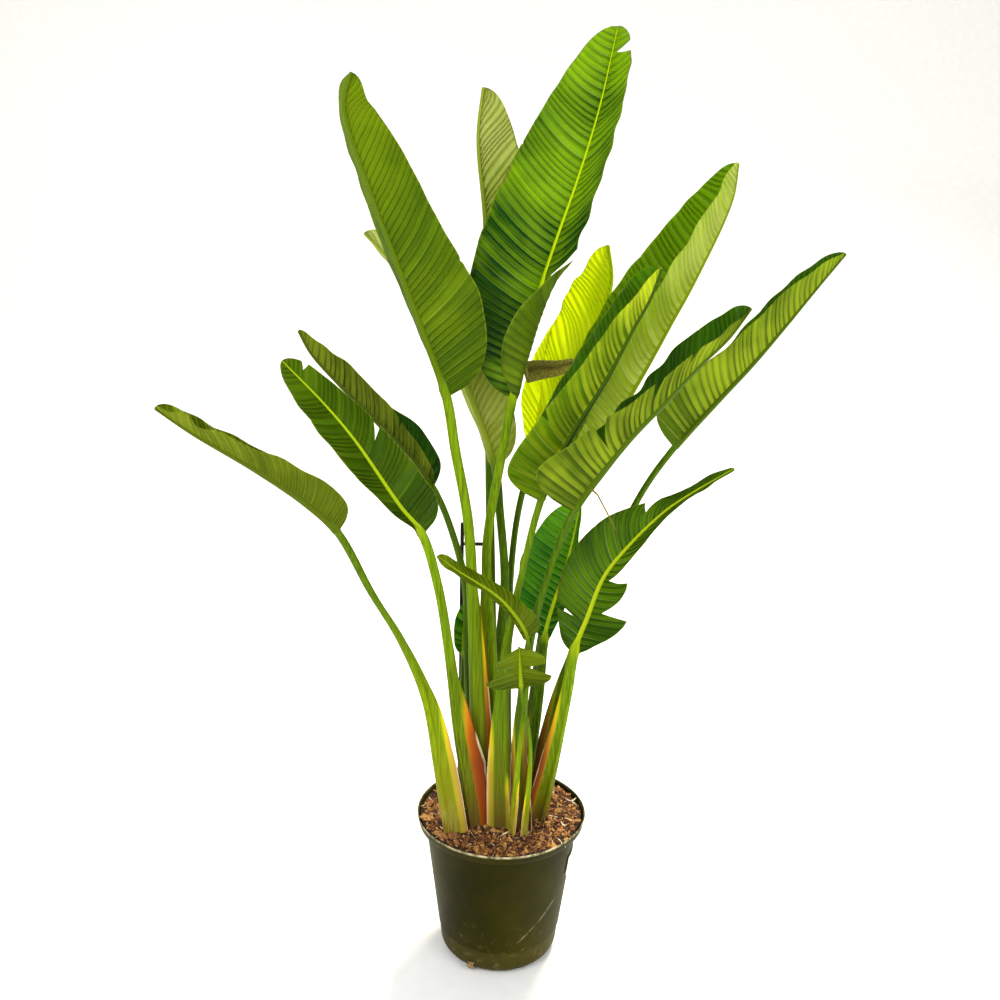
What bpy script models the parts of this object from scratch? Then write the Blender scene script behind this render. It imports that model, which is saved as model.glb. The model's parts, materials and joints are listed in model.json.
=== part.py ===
"""Potted bird of paradise: a clump of paddle leaves on long stalks in a plastic nursery pot.

Metres, +Z up. The origin is the middle of the pot's underside, which stands on the ground.
The clump's open side looks along -Y and +X is to its right.

A leaf is one grown piece: stalk, midrib and blade. Each is one closed skin, lofted through
rings that run from the stalk's foot in the soil to the blade's tip. A ring has the same
number of corners in the stalk, where it is an oval, as in the blade, where it is a thin
plate folded along the midrib.
"""

import math
from dataclasses import dataclass

import bpy
import numpy as np
from mathutils import Vector

# ---------------------------------------------------------------- driving dimensions

GAP = 0.0003                # clearance where one piece rests against another

POT_HEIGHT = 0.240
RIM_RADIUS = 0.135          # outside of the rim, a 27 cm nursery pot
RIM_BAND = 0.015            # height of the band that stiffens the rim
RIM_DROP = 0.003            # how much narrower the band is at its lower edge
TOP_RADIUS = 0.1212         # wall just under the rim band
BASE_RADIUS = 0.0955        # wall where it turns into the bottom corner
CORNER = 0.022              # radius of the bottom corner
WALL = 0.002
POT_SIDES = 48
LIP = 0.0010                # rounding of the rim's top edge
RIM_FLARE = 0.005           # height over which the wall steps out to the band
STEP_HEIGHT = 0.045         # faint step low on the wall
STEP_RADIUS = 0.0980
STEP_OUT = 0.0010
HOLE_COUNT = 8              # drain holes round the bottom corner
HOLE_RADIUS = 0.006
HOLE_SIDES = 12

SOIL_EDGE = 0.229           # soil level at the wall
SOIL_CROWN = 0.008          # how much higher it is heaped at the stalks
SOIL_RINGS = 5
SOIL_SIDES = 32
SOIL_ROUGH = 0.0022
SEED = 7

BLADE_THICK = 0.0012
RIB_DEEP = (0.0055, 0.0012)     # midrib under the blade, at its base and near its tip
RIB_HALF = (0.0050, 0.0012)     # its half width
NECK = (0.0070, 0.0055)         # half width and half thickness of a stalk at the blade
SHEATH_END = 0.8                # share of a stalk over which its sheathing foot narrows
FOOT_DEPTH = 0.195              # height of the stalks' lower ends, inside the soil
VEIN_LEAN = 0.085               # how far the rows of a blade sweep towards its tip
CREASE = 0.45                   # share of a half next to the midrib in which a flap folds over

HOLE_GAP = 0.0006               # clearance of a stalk in its hole in the soil

ROD_RADIUS = 0.003              # black support
ROD_SIDES = 8
TEAR = (0.012, 0.012)       # how far a plain tear opens to either side, as a share of the blade

STAKES = ((-0.070, 0.058, 0.702), (-0.031, 0.058, 0.680))    # x, y and top of each stake
BAR_HEIGHT = 0.667


@dataclass
class Leaf:
    """One leaf: left and right are as seen on the upper side with the tip up."""

    stalk: tuple                # points from the soil up to the blade
    rib: tuple                  # points along the midrib, from the blade's base to its tip
    left: tuple                 # width of the left half at five places, base to tip
    right: tuple                # width of the right half at the same places
    face: tuple                 # where the upper side looks at the foot, blade base and tip
    fold: tuple                 # degrees each half rises from flat, at the base and the tip
    foot: tuple = (0.010, 0.008)    # half width and half thickness of the stalk in the soil
    tears: tuple = ()           # (side, place, depth, (opening before, after)), side -1 left or 1
    flaps: tuple = ()           # (side, from, to, (fold, curl) at each) of stretches that hang
    neck: tuple = NECK


LEAVES = {
    # tall leaf on the left, its underside to the front
    "leaf_tall_left": Leaf(
        stalk=((-0.034, -0.020, 0.242), (-0.042, -0.022, 0.456), (-0.050, -0.020, 0.602),
               (-0.059, -0.014, 0.725), (-0.079, -0.010, 0.830)),
        rib=((-0.093, -0.008, 0.909), (-0.126, -0.012, 1.001), (-0.167, -0.025, 1.111),
             (-0.193, -0.040, 1.184), (-0.224, -0.065, 1.293), (-0.213, -0.075, 1.332)),
        left=(0.066, 0.093, 0.075, 0.057, 0.030), right=(0.026, 0.052, 0.074, 0.060, 0.048),
        face=((0.2, 0.95, 0), (0.60, 0.8, 0.2), (0.5, 0.85, 0.1)),
        fold=((33, 33), (38, 42)), foot=(0.014, 0.009), neck=(0.0080, 0.0062)),
    # narrow pale leaf at the back
    "leaf_back_narrow": Leaf(
        stalk=((-0.013, 0.034, 0.242), (-0.019, 0.076, 0.445), (-0.025, 0.086, 0.633),
               (-0.031, 0.095, 0.827)),
        rib=((-0.035, 0.103, 0.973), (-0.042, 0.115, 1.156), (-0.055, 0.130, 1.276),
             (-0.049, 0.140, 1.349)),
        left=(0.030, 0.058, 0.066, 0.060, 0.036), right=(0.020, 0.038, 0.045, 0.040, 0.024),
        face=((0.3, 0.95, 0), (0.55, 0.8, 0.1), (0.45, 0.8, 0)),
        fold=((33, 33), (60, 60)), foot=(0.009, 0.008)),
    # tallest leaf, its upper side to the front, torn and folded over low on the right
    "leaf_tallest": Leaf(
        stalk=((-0.006, -0.016, 0.242), (-0.022, -0.005, 0.532), (-0.031, 0.012, 0.654),
               (-0.027, 0.018, 0.717), (-0.013, 0.024, 0.802)),
        rib=((0.004, 0.030, 0.902), (0.034, 0.035, 1.040), (0.062, 0.040, 1.132),
             (0.089, 0.045, 1.214), (0.116, 0.055, 1.309), (0.138, 0.060, 1.420)),
        left=(0.058, 0.100, 0.103, 0.078, 0.040), right=(0.048, 0.074, 0.068, 0.064, 0.050),
        face=((-0.2, -0.95, 0), (-0.5, -0.85, 0.1), (-0.5, -0.85, 0.2)),
        fold=((33, 33), (36, 33)), foot=(0.012, 0.009),
        tears=((1, 0.34, 0.85, TEAR), (1, 0.93, 0.75, (0.025, 0.012))),
        flaps=((1, 0.0, 0.34, (-10, 200), (10, 30)),)),
    # leaf behind the two tall ones
    "leaf_behind_tall": Leaf(
        stalk=((-0.010, 0.006, 0.242), (-0.007, 0.020, 0.522), (-0.002, 0.035, 0.615),
               (-0.012, 0.047, 0.724)),
        rib=((-0.021, 0.055, 0.794), (-0.066, 0.063, 0.915), (-0.122, 0.067, 1.011),
             (-0.174, 0.068, 1.090), (-0.219, 0.068, 1.136)),
        left=(0.040, 0.056, 0.058, 0.048, 0.026), right=(0.035, 0.050, 0.055, 0.042, 0.022),
        face=((0.3, 0.95, 0), (0.5, 0.8, 0.4), (0.5, 0.8, 0.4)),
        fold=((33, 33), (35, 35)), foot=(0.009, 0.007)),
    # bright leaf right of the middle
    "leaf_bright": Leaf(
        stalk=((0.010, 0.036, 0.242), (0.006, 0.080, 0.431), (0.009, 0.098, 0.632),
               (0.021, 0.104, 0.730)),
        rib=((0.041, 0.108, 0.802), (0.071, 0.110, 0.889), (0.104, 0.112, 0.957),
             (0.135, 0.115, 1.011), (0.151, 0.120, 1.071), (0.144, 0.125, 1.126)),
        left=(0.040, 0.080, 0.090, 0.070, 0.035), right=(0.010, 0.028, 0.066, 0.073, 0.042),
        face=((-0.9, 0.1, 0.1), (-0.9, 0.2, 0.4), (-0.9, 0.2, 0.3)),
        fold=((50, 50), (50, 50)), foot=(0.009, 0.008)),
    # large leaf that leans right
    "leaf_right_large": Leaf(
        stalk=((0.030, 0.008, 0.242), (0.044, 0.037, 0.377), (0.061, 0.039, 0.547),
               (0.084, 0.033, 0.698)),
        rib=((0.106, 0.025, 0.819), (0.150, 0.020, 0.869), (0.188, 0.015, 0.938),
             (0.227, 0.010, 1.018), (0.258, 0.005, 1.083), (0.301, 0.005, 1.190),
             (0.307, 0.010, 1.239)),
        left=(0.070, 0.100, 0.100, 0.074, 0.042), right=(0.056, 0.092, 0.092, 0.074, 0.042),
        face=((-0.9, -0.2, 0.1), (-0.80, -0.20, 0.52), (-0.8, -0.25, 0.3)),
        fold=((50, 50), (50, 50)), foot=(0.010, 0.008)),
    # leaf in front of it, keel to the lower right and a round lobe at its base
    "leaf_right_lobed": Leaf(
        stalk=((0.000, -0.045, 0.242), (-0.003, -0.050, 0.454), (0.004, -0.045, 0.549),
               (0.023, -0.045, 0.659)),
        rib=((0.047, -0.050, 0.768), (0.077, -0.055, 0.846), (0.108, -0.060, 0.904),
             (0.132, -0.065, 0.948), (0.162, -0.075, 1.014), (0.183, -0.080, 1.057),
             (0.195, -0.085, 1.097)),
        left=(0.050, 0.072, 0.074, 0.058, 0.042), right=(0.064, 0.060, 0.048, 0.034, 0.016),
        face=((-0.2, -0.95, 0.1), (-0.8, 0.3, 0.5), (-0.8, 0.15, 0.5)),
        fold=((52, 52), (52, 52)), foot=(0.0175, 0.0105), tears=((1, 0.26, 0.3, TEAR),)),
    # front leaf on the right, its near half torn into four
    "leaf_right_torn": Leaf(
        stalk=((0.033, -0.047, 0.242), (0.027, -0.062, 0.427), (0.037, -0.068, 0.559),
               (0.057, -0.076, 0.654)),
        rib=((0.092, -0.090, 0.763), (0.128, -0.095, 0.820), (0.164, -0.100, 0.870),
             (0.206, -0.105, 0.919), (0.250, -0.110, 0.972), (0.284, -0.115, 1.009),
             (0.310, -0.120, 1.049)),
        left=(0.046, 0.055, 0.048, 0.046, 0.028), right=(0.084, 0.067, 0.040, 0.024, 0.008),
        face=((-0.2, -0.95, 0.1), (-0.7, 0.3, 0.7), (-0.7, 0.0, 0.7)),
        fold=((50, 50), (50, 50)), foot=(0.012, 0.009),
        tears=((1, 0.27, 0.8, (0.012, 0.03)), (1, 0.50, 0.6, (0.012, 0.03)),
               (1, 0.68, 0.5, (0.012, 0.03)))),
    # far right leaf
    "leaf_far_right": Leaf(
        stalk=((0.064, 0.016, 0.242), (0.091, 0.020, 0.423), (0.125, 0.030, 0.555),
               (0.168, 0.040, 0.675), (0.207, 0.045, 0.763)),
        rib=((0.251, 0.045, 0.831), (0.306, 0.040, 0.900), (0.357, 0.035, 0.962),
             (0.399, 0.030, 1.019), (0.438, 0.025, 1.074), (0.472, 0.020, 1.121)),
        left=(0.048, 0.054, 0.054, 0.042, 0.022), right=(0.066, 0.068, 0.058, 0.050, 0.022),
        face=((-0.4, -0.9, 0.1), (-0.7, 0.35, 0.6), (-0.7, -0.1, 0.6)),
        fold=((50, 50), (50, 50)), foot=(0.014, 0.010)),
    # low leaf on the right, torn at its tip and along its right half
    "leaf_low_right": Leaf(
        stalk=((0.058, -0.018, 0.242), (0.082, -0.034, 0.375), (0.096, -0.042, 0.465)),
        rib=((0.103, -0.050, 0.533), (0.120, -0.056, 0.589), (0.142, -0.060, 0.656),
             (0.175, -0.066, 0.706), (0.223, -0.074, 0.761), (0.259, -0.082, 0.791),
             (0.312, -0.090, 0.828)),
        left=(0.030, 0.056, 0.054, 0.014, 0.009), right=(0.026, 0.062, 0.024, 0.010, 0.007),
        face=((-0.1, -0.95, 0.1), (-0.3, -0.9, 0.2), (-0.5, -0.5, 0.7)),
        fold=((20, 20), (10, 25)), foot=(0.0150, 0.0105), neck=(0.0085, 0.0065),
        tears=((-1, 0.14, 0.6, TEAR), (-1, 0.61, 0.5, (0.03, 0.03)),
               (1, 0.20, 0.72, (0.012, 0.11)), (1, 0.34, 0.85, (0.012, 0.14)))),
    # low leaf in the middle, its upper side to the front
    "leaf_low_middle": Leaf(
        stalk=((0.030, -0.018, 0.242), (0.049, -0.003, 0.364), (0.057, 0.005, 0.447)),
        rib=((0.062, 0.013, 0.528), (0.074, 0.015, 0.585), (0.087, 0.015, 0.628),
             (0.099, 0.012, 0.687), (0.109, 0.011, 0.748)),
        left=(0.022, 0.056, 0.070, 0.056, 0.034), right=(0.014, 0.024, 0.022, 0.012, 0.006),
        face=((-0.2, -0.95, 0), (-0.4, -0.92, 0.1), (-0.3, -0.95, 0.2)),
        fold=((15, 15), (30, 30)), foot=(0.008, 0.008)),
    # small folded leaf in front, pointing left
    "leaf_small_folded": Leaf(
        stalk=((0.016, -0.066, 0.242), (0.026, -0.079, 0.401), (0.034, -0.077, 0.502)),
        rib=((0.032, -0.082, 0.566), (0.003, -0.092, 0.617), (-0.021, -0.102, 0.643),
             (-0.049, -0.115, 0.666), (-0.072, -0.127, 0.685), (-0.096, -0.140, 0.708)),
        left=(0.014, 0.017, 0.014, 0.013, 0.012), right=(0.026, 0.021, 0.015, 0.012, 0.009),
        face=((0, -1, 0), (0.4, -0.7, 0.6), (0.1, -0.6, 0.8)),
        fold=((35, 20), (35, 20)), foot=(0.005, 0.005), neck=(0.003, 0.003)),
    # smallest leaf, a torn crescent in front
    "leaf_small_crescent": Leaf(
        stalk=((0.037, -0.068, 0.242), (0.041, -0.078, 0.398), (0.028, -0.090, 0.470)),
        rib=((0.025, -0.092, 0.492), (0.022, -0.100, 0.531), (0.020, -0.110, 0.564)),
        left=(0.010, 0.044, 0.060, 0.048, 0.040), right=(0.010, 0.038, 0.050, 0.040, 0.034),
        face=((0, -1, 0), (0, -0.8, 0.6), (0, -0.6, 0.8)),
        fold=((30, 30), (30, 30)), foot=(0.005, 0.005), neck=(0.0025, 0.0025),
        tears=((-1, 0.56, 0.8, (0.16, 0.14)), (1, 0.56, 0.8, (0.16, 0.14)))),
    # far left leaf, keel down, nearly edge on
    "leaf_far_left": Leaf(
        stalk=((-0.074, -0.057, 0.242), (-0.091, -0.060, 0.347), (-0.113, -0.070, 0.461),
               (-0.152, -0.085, 0.562), (-0.193, -0.100, 0.641)),
        rib=((-0.236, -0.120, 0.734), (-0.274, -0.130, 0.775), (-0.339, -0.150, 0.827),
             (-0.412, -0.170, 0.877), (-0.456, -0.180, 0.911)),
        left=(0.036, 0.040, 0.032, 0.024, 0.018), right=(0.026, 0.032, 0.028, 0.022, 0.016),
        face=((0.2, -0.95, 0.1), (0.4, 0.5, 0.7), (0.3, -0.1, 0.9)),
        fold=((60, 50), (70, 60)), foot=(0.0165, 0.010)),
    # second leaf on the left, open
    "leaf_left_open": Leaf(
        stalk=((-0.040, -0.043, 0.242), (-0.047, -0.045, 0.290), (-0.066, -0.045, 0.399),
               (-0.084, -0.046, 0.531), (-0.101, -0.050, 0.635)),
        rib=((-0.124, -0.055, 0.714), (-0.154, -0.060, 0.754), (-0.217, -0.075, 0.854),
             (-0.256, -0.085, 0.905), (-0.309, -0.100, 0.965)),
        left=(0.014, 0.034, 0.050, 0.044, 0.024), right=(0.046, 0.052, 0.042, 0.030, 0.020),
        face=((0.2, -0.95, 0.1), (0.3, -0.8, 0.6), (0.3, -0.7, 0.6)),
        fold=((40, 10), (25, 30)), foot=(0.0130, 0.009),
        tears=((1, 0.45, 0.5, (0.012, 0.025)), (1, 0.90, 0.5, (0.02, 0.02)))),
    # third leaf on the left, its near half narrow
    "leaf_left_back": Leaf(
        stalk=((-0.040, 0.003, 0.242), (-0.057, 0.002, 0.513), (-0.061, 0.004, 0.609),
               (-0.079, 0.004, 0.689)),
        rib=((-0.111, 0.000, 0.770), (-0.160, -0.002, 0.832), (-0.198, -0.006, 0.875),
             (-0.248, -0.012, 0.926), (-0.284, -0.018, 0.968), (-0.301, -0.020, 1.000)),
        left=(0.016, 0.026, 0.034, 0.034, 0.016), right=(0.038, 0.048, 0.028, 0.022, 0.010),
        face=((0.2, -0.95, 0.1), (0.6, 0.15, 0.7), (0.6, 0.15, 0.7)),
        fold=((60, 55), (50, 75)), tears=((-1, 0.30, 0.5, TEAR), (1, 0.40, 0.9, (0.012, 0.04)))),
    # young leaf behind the left stalks
    "leaf_young": Leaf(
        stalk=((-0.066, 0.014, 0.242), (-0.066, 0.014, 0.390)),
        rib=((-0.064, 0.014, 0.500), (-0.064, 0.015, 0.550), (-0.060, 0.018, 0.590)),
        left=(0.010, 0.017, 0.018, 0.013, 0.006), right=(0.008, 0.014, 0.016, 0.011, 0.005),
        face=((0, -1, 0), (0.2, -0.9, 0.1), (0.2, -0.9, 0.1)),
        fold=((20, 20), (20, 20)), foot=(0.006, 0.006), neck=(0.004, 0.004)),
}


# ---------------------------------------------------------------- leaf shape

RING = 14                   # corners in a ring: seven on the upper side, seven below
STALK_STEP = 0.085
BLADE_ROWS = 12
ROW_GAP = 0.02               # least distance of a plain row from one at a tear


def unit(vector):
    return vector / np.linalg.norm(vector, axis=-1, keepdims=True)


def smooth_curve(points, steps=16):
    """Close-set points on a smooth curve through the given ones, and where those fall on it."""
    knots = np.array(points, dtype=float)
    ends = np.vstack([2 * knots[0] - knots[1], knots, 2 * knots[-1] - knots[-2]])
    spans = np.sqrt(np.linalg.norm(np.diff(ends, axis=0), axis=1))
    marks = np.concatenate([[0], np.cumsum(spans)])
    dense = []
    for k in range(1, len(knots)):
        t0, t1, t2, t3 = marks[k - 1:k + 3]
        t = np.linspace(t1, t2, steps, endpoint=False)[:, None]
        a1 = (t1 - t) / (t1 - t0) * ends[k - 1] + (t - t0) / (t1 - t0) * ends[k]
        a2 = (t2 - t) / (t2 - t1) * ends[k] + (t - t1) / (t2 - t1) * ends[k + 1]
        a3 = (t3 - t) / (t3 - t2) * ends[k + 1] + (t - t2) / (t3 - t2) * ends[k + 2]
        b1 = (t2 - t) / (t2 - t0) * a1 + (t - t0) / (t2 - t0) * a2
        b2 = (t3 - t) / (t3 - t1) * a2 + (t - t1) / (t3 - t1) * a3
        dense.append((t2 - t) / (t2 - t1) * b1 + (t - t1) / (t2 - t1) * b2)
    dense.append(knots[-1:])
    return np.vstack(dense), [steps * k for k in range(len(knots))]


class Spine:
    """The middle line of a leaf, with the directions across and out of its upper side."""

    def __init__(self, leaf):
        foot = np.array(leaf.stalk[0])
        rise = unit(np.array(leaf.stalk[1]) - foot)
        buried = foot - rise * (foot[2] - FOOT_DEPTH) / rise[2]
        points = (tuple(buried),) + leaf.stalk + leaf.rib
        self.dense, knots = smooth_curve(points)
        steps = np.linalg.norm(np.diff(self.dense, axis=0), axis=1)
        self.length = np.concatenate([[0], np.cumsum(steps)])
        self.base = self.length[knots[len(leaf.stalk) + 1]]
        self.soil = self.length[knots[1]]
        self.end = self.length[-1]
        self.tangents = unit(np.gradient(self.dense, self.length, axis=0))
        marks = (self.soil, self.base, self.end)
        looks = np.array(leaf.face, dtype=float)
        look = np.stack([np.interp(self.length, marks, looks[:, k]) for k in range(3)], axis=1)
        look -= self.tangents * np.sum(look * self.tangents, axis=1, keepdims=True)
        self.normals = unit(look)

    def read(self, values, place):
        return np.stack([np.interp(place, self.length, values[:, k]) for k in range(3)], axis=-1)

    def frame(self, place):
        """Point, direction along, across to the right, and out of the upper side."""
        along = unit(self.read(self.tangents, place))
        out = self.read(self.normals, place)
        out = unit(out - along * np.sum(along * out, axis=-1, keepdims=True))
        return self.read(self.dense, place), along, np.cross(along, out), out


def profile(leaf, side, u):
    """Width of one half of the blade at u: a smooth line through its five widths.

    The places of the widths lie closer together towards both ends, so that the half runs
    out round, as an ellipse does.
    """
    row = leaf.left if side < 0 else leaf.right
    widths = (-row[0], 0.0) + row + (0.0, -row[-1])
    place = math.acos(1 - 2 * min(max(u, 0), 1)) / math.pi * (len(row) + 1)
    k = min(int(place), len(row))
    t = place - k
    a, b, c, d = widths[k:k + 4]
    bend = 2 * a - 5 * b + 4 * c - d + (3 * b - a - 3 * c + d) * t
    return max(0.0, b + 0.5 * t * (c - a + t * bend))


def side_angles(leaf, side, u):
    """Fold at the midrib and curl across one half of the blade at u, in radians."""
    index = 0 if side < 0 else 1
    fold, curl = np.interp(u, (0, 1), leaf.fold[index]), 0.0
    for flap_side, start, stop, first, last in leaf.flaps:
        if flap_side == side and start <= u < stop:
            fold, curl = (np.interp(u, (start, stop), pair) for pair in zip(first, last))
    return math.radians(fold), math.radians(curl)


def tear_depth(leaf, side, u):
    """Share of one half that is missing at u, from the margin inwards."""
    missing = 0.0
    for tear_side, place, depth, (before, after) in leaf.tears:
        if tear_side == side:
            opening = before if u < place else after
            missing = max(missing, depth * (1 - abs(u - place) / opening))
    return missing


def blade_point(leaf, spine, side, u, v):
    """A point of the blade's upper sheet, v of the way from the midrib to the margin."""
    fold, curl = side_angles(leaf, side, u)
    reach = v * (1 - tear_depth(leaf, side, u))
    place = u + VEIN_LEAN * reach ** 1.4 * math.sin(math.pi * u)
    middle, along, across, out = spine.frame(spine.base + place * (spine.end - spine.base))
    half = profile(leaf, side, place)
    turns = fold + curl * np.minimum(reach * (np.arange(6) + 0.5) / 6 / CREASE, 1)
    sideways = side * half * reach * np.cos(turns).mean()
    upward = half * reach * np.sin(turns).mean()
    turn = fold + curl * min(reach / CREASE, 1)
    normal = out * math.cos(turn) - side * across * math.sin(turn)
    return middle + across * sideways + out * upward, normal


def blade_rows(leaf):
    """Places of the blade's rings: close together at both ends and at each tear."""
    marks = set()
    for _, place, _, (before, after) in leaf.tears:
        marks |= {place - before, place, place + after}
    plain = 0.5 - 0.5 * np.cos(np.pi * np.arange(1, BLADE_ROWS) / BLADE_ROWS)
    clear = [u for u in plain if all(abs(u - mark) > ROW_GAP for mark in marks)]
    return sorted(clear + list(marks))


def blade_ring(leaf, spine, u):
    place = spine.base + u * (spine.end - spine.base)
    middle, _, _, out = spine.frame(place)
    half = min(profile(leaf, side, u) for side in (-1, 1))
    shoulder = min(np.interp(u, (0, 1), RIB_HALF) / half, 0.4)
    deep = np.interp(u, (0, 1), RIB_DEEP)
    steps = (shoulder, 0.55, 1.0)
    upper, lower = [middle], [middle - out * deep]
    for side in (-1, 1):
        for v in steps:
            point, normal = blade_point(leaf, spine, side, u, v)
            below = point - normal * BLADE_THICK
            if side < 0:
                upper.insert(0, point)
                lower.append(below)
            else:
                upper.append(point)
                lower.insert(0, below)
    return np.array(upper + lower)


def stalk_ring(leaf, spine, place):
    middle, _, across, out = spine.frame(place)
    share = np.clip((place - spine.soil) / (spine.base - spine.soil), 0, 1)
    sheath = 0.5 + 0.5 * math.cos(math.pi * min(1, share / SHEATH_END))
    wide = leaf.neck[0] + (leaf.foot[0] - leaf.neck[0]) * sheath
    thick = leaf.neck[1] + (leaf.foot[1] - leaf.neck[1]) * sheath
    angles = np.pi - (np.arange(RING) + 0.5) * 2 * np.pi / RING
    return (middle + np.cos(angles)[:, None] * wide * across
            + np.sin(angles)[:, None] * thick * out)


def leaf_rings(leaf):
    spine = Spine(leaf)
    count = max(4, round((spine.base - spine.soil) / STALK_STEP))
    places = np.concatenate([[0], np.linspace(spine.soil, spine.base, count + 1)])
    rings = [stalk_ring(leaf, spine, place) for place in places]
    rings += [blade_ring(leaf, spine, u) for u in blade_rows(leaf)]
    return np.array(rings), spine


# ---------------------------------------------------------------- meshes and materials


def srgb(code):
    """Linear colour of a hex sRGB code."""
    parts = [int(code[k:k + 2], 16) / 255 for k in (0, 2, 4)]
    return [c / 12.92 if c <= 0.04045 else ((c + 0.055) / 1.055) ** 2.4 for c in parts] + [1]


def material(name, code, roughness):
    made = bpy.data.materials.new(name)
    made.use_nodes = True
    shader = made.node_tree.nodes["Principled BSDF"]
    shader.inputs["Base Color"].default_value = srgb(code)
    shader.inputs["Roughness"].default_value = roughness
    shader.inputs["Metallic"].default_value = 0.0
    return made


def add_object(name, points, faces, surface, location=(0, 0, 0)):
    """One closed mesh as an object whose origin is at location."""
    mesh = bpy.data.meshes.new(name)
    mesh.from_pydata([Vector(p) - Vector(location) for p in points], [], faces)
    mesh.validate()
    mesh.shade_smooth()
    mesh.set_sharp_from_angle(angle=math.radians(40))
    mesh.materials.append(surface)
    thing = bpy.data.objects.new(name, mesh)
    thing.location = location
    bpy.context.scene.collection.objects.link(thing)
    return thing


def hide_guide(thing):
    thing.hide_render = True
    thing.display_type = "WIRE"


def cut(thing, cutter):
    modifier = thing.modifiers.new("cut", "BOOLEAN")
    modifier.operation = "DIFFERENCE"
    modifier.object = cutter
    hide_guide(cutter)


def loft(rings, start, end):
    """Closed skin over rings of equal size, with a point at each end.

    Every four-sided cell is split so that a cell of the upper side and the one below it
    share their diagonal, which keeps the two sides of a thin blade apart.
    """
    count, size = rings.shape[:2]
    points = [tuple(p) for p in rings.reshape(-1, 3)] + [tuple(start), tuple(end)]
    first, last = count * size, count * size + 1
    faces = []
    for row in range(count - 1):
        for k in range(size):
            a = row * size + k
            b = row * size + (k + 1) % size
            c, d = b + size, a + size
            if k < size // 2:
                faces += [(a, b, c), (a, c, d)]
            else:
                faces += [(a, b, d), (b, c, d)]
    top = (count - 1) * size
    for k in range(size):
        after = (k + 1) % size
        faces.append((first, after, k))
        faces.append((last, top + k, top + after))
    return points, faces


def turned(outline, sides):
    """Solid of revolution about Z; outline runs from the axis below to the axis above."""
    angles = 2 * np.pi * np.arange(sides) / sides
    points = [(0, 0, outline[0][1])]
    for radius, height in outline[1:-1]:
        points += [(radius * math.cos(a), radius * math.sin(a), height) for a in angles]
    points.append((0, 0, outline[-1][1]))
    faces = []
    rings = len(outline) - 2
    for k in range(sides):
        after = (k + 1) % sides
        faces.append((0, 1 + after, 1 + k))
        for ring in range(rings - 1):
            low, high = 1 + ring * sides, 1 + (ring + 1) * sides
            faces.append((low + k, low + after, high + after, high + k))
        top = 1 + (rings - 1) * sides
        faces.append((top + k, top + after, len(points) - 1))
    return points, faces


def tube(start, end, radius, sides):
    """Points and faces of a straight round rod."""
    start, end = np.array(start), np.array(end)
    along = unit(end - start)
    aside = unit(np.cross(along, (0, 0, 1) if abs(along[2]) < 0.9 else (1, 0, 0)))
    other = np.cross(along, aside)
    angles = 2 * np.pi * np.arange(sides) / sides
    circle = radius * (np.cos(angles)[:, None] * aside + np.sin(angles)[:, None] * other)
    return loft(np.array([start + circle, end + circle]), start, end)


# ---------------------------------------------------------------- pot and soil


def wall_line(inset):
    """The pot's side from the floor to the rim, moved inwards by inset."""
    angles = np.radians((-90, -72, -54, -36, -18, 0))
    bend = CORNER - inset
    middle = BASE_RADIUS - CORNER
    line = [(middle + bend * math.cos(a), CORNER + bend * math.sin(a)) for a in angles]
    ledge = POT_HEIGHT - RIM_BAND + inset / 2
    line.append((STEP_RADIUS - inset, STEP_HEIGHT))
    line.append((STEP_RADIUS + STEP_OUT - inset, STEP_HEIGHT + STEP_OUT + inset / 4))
    line.append((TOP_RADIUS - inset, ledge - RIM_FLARE))
    line.append((RIM_RADIUS - RIM_DROP - inset, ledge))
    return line


def make_pot():
    outer = wall_line(0)
    inner = wall_line(WALL)
    lip = [(RIM_RADIUS, POT_HEIGHT - LIP), (RIM_RADIUS - WALL / 2, POT_HEIGHT),
           (RIM_RADIUS - WALL, POT_HEIGHT - LIP)]
    outline = [(0, 0)] + outer + lip + inner[::-1] + [(0, WALL)]
    points, faces = turned(outline, POT_SIDES)
    plastic = material("recycled_plastic", "35331A", 0.45)
    pot = add_object("pot", points, faces, plastic)
    cut(pot, make_drain_cutter())
    return pot


def make_drain_cutter():
    """Round pins that slope out through the bottom corner."""
    points, faces = [], []
    slope = math.radians(45)
    middle = BASE_RADIUS - CORNER
    for k in range(HOLE_COUNT):
        turn = 2 * math.pi * (k + 0.5) / HOLE_COUNT
        ends = []
        for reach in (CORNER - 2 * WALL, CORNER + WALL):
            radius = middle + reach * math.cos(slope)
            height = CORNER - reach * math.sin(slope)
            ends.append((radius * math.cos(turn), radius * math.sin(turn), height))
        pin_points, pin_faces = tube(ends[0], ends[1], HOLE_RADIUS, HOLE_SIDES)
        shift = len(points)
        points += pin_points
        faces += [tuple(v + shift for v in face) for face in pin_faces]
    return add_object("drain_cutter", points, faces, material("guide", "808080", 0.5))


def make_soil(leaves):
    """Potting bark and peat: fills the pot and is heaped a little at the stalks."""
    rng = np.random.default_rng(SEED)
    side = [p for p in wall_line(WALL + GAP) if p[1] < SOIL_EDGE]
    edge = side[-1][0] + (SOIL_EDGE - side[-1][1]) * RIM_DROP / RIM_BAND
    outline = [(0, WALL + GAP)] + side + [(edge, SOIL_EDGE)]
    for k in range(1, SOIL_RINGS):
        share = k / SOIL_RINGS
        outline.append((edge * (1 - share), SOIL_EDGE + SOIL_CROWN * math.sin(share * math.pi / 2)))
    outline.append((0, SOIL_EDGE + SOIL_CROWN))
    points, faces = turned(outline, SOIL_SIDES)
    rough = []
    for x, y, z in points:
        inside = z > SOIL_EDGE + GAP
        rough.append((x, y, z + (rng.uniform(-SOIL_ROUGH, SOIL_ROUGH) if inside else 0)))
    bark = material("bark_and_peat", "5A3618", 0.95)
    soil = add_object("soil", rough, faces, bark)
    cut(soil, make_hole_cutter(leaves))
    return soil


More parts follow.
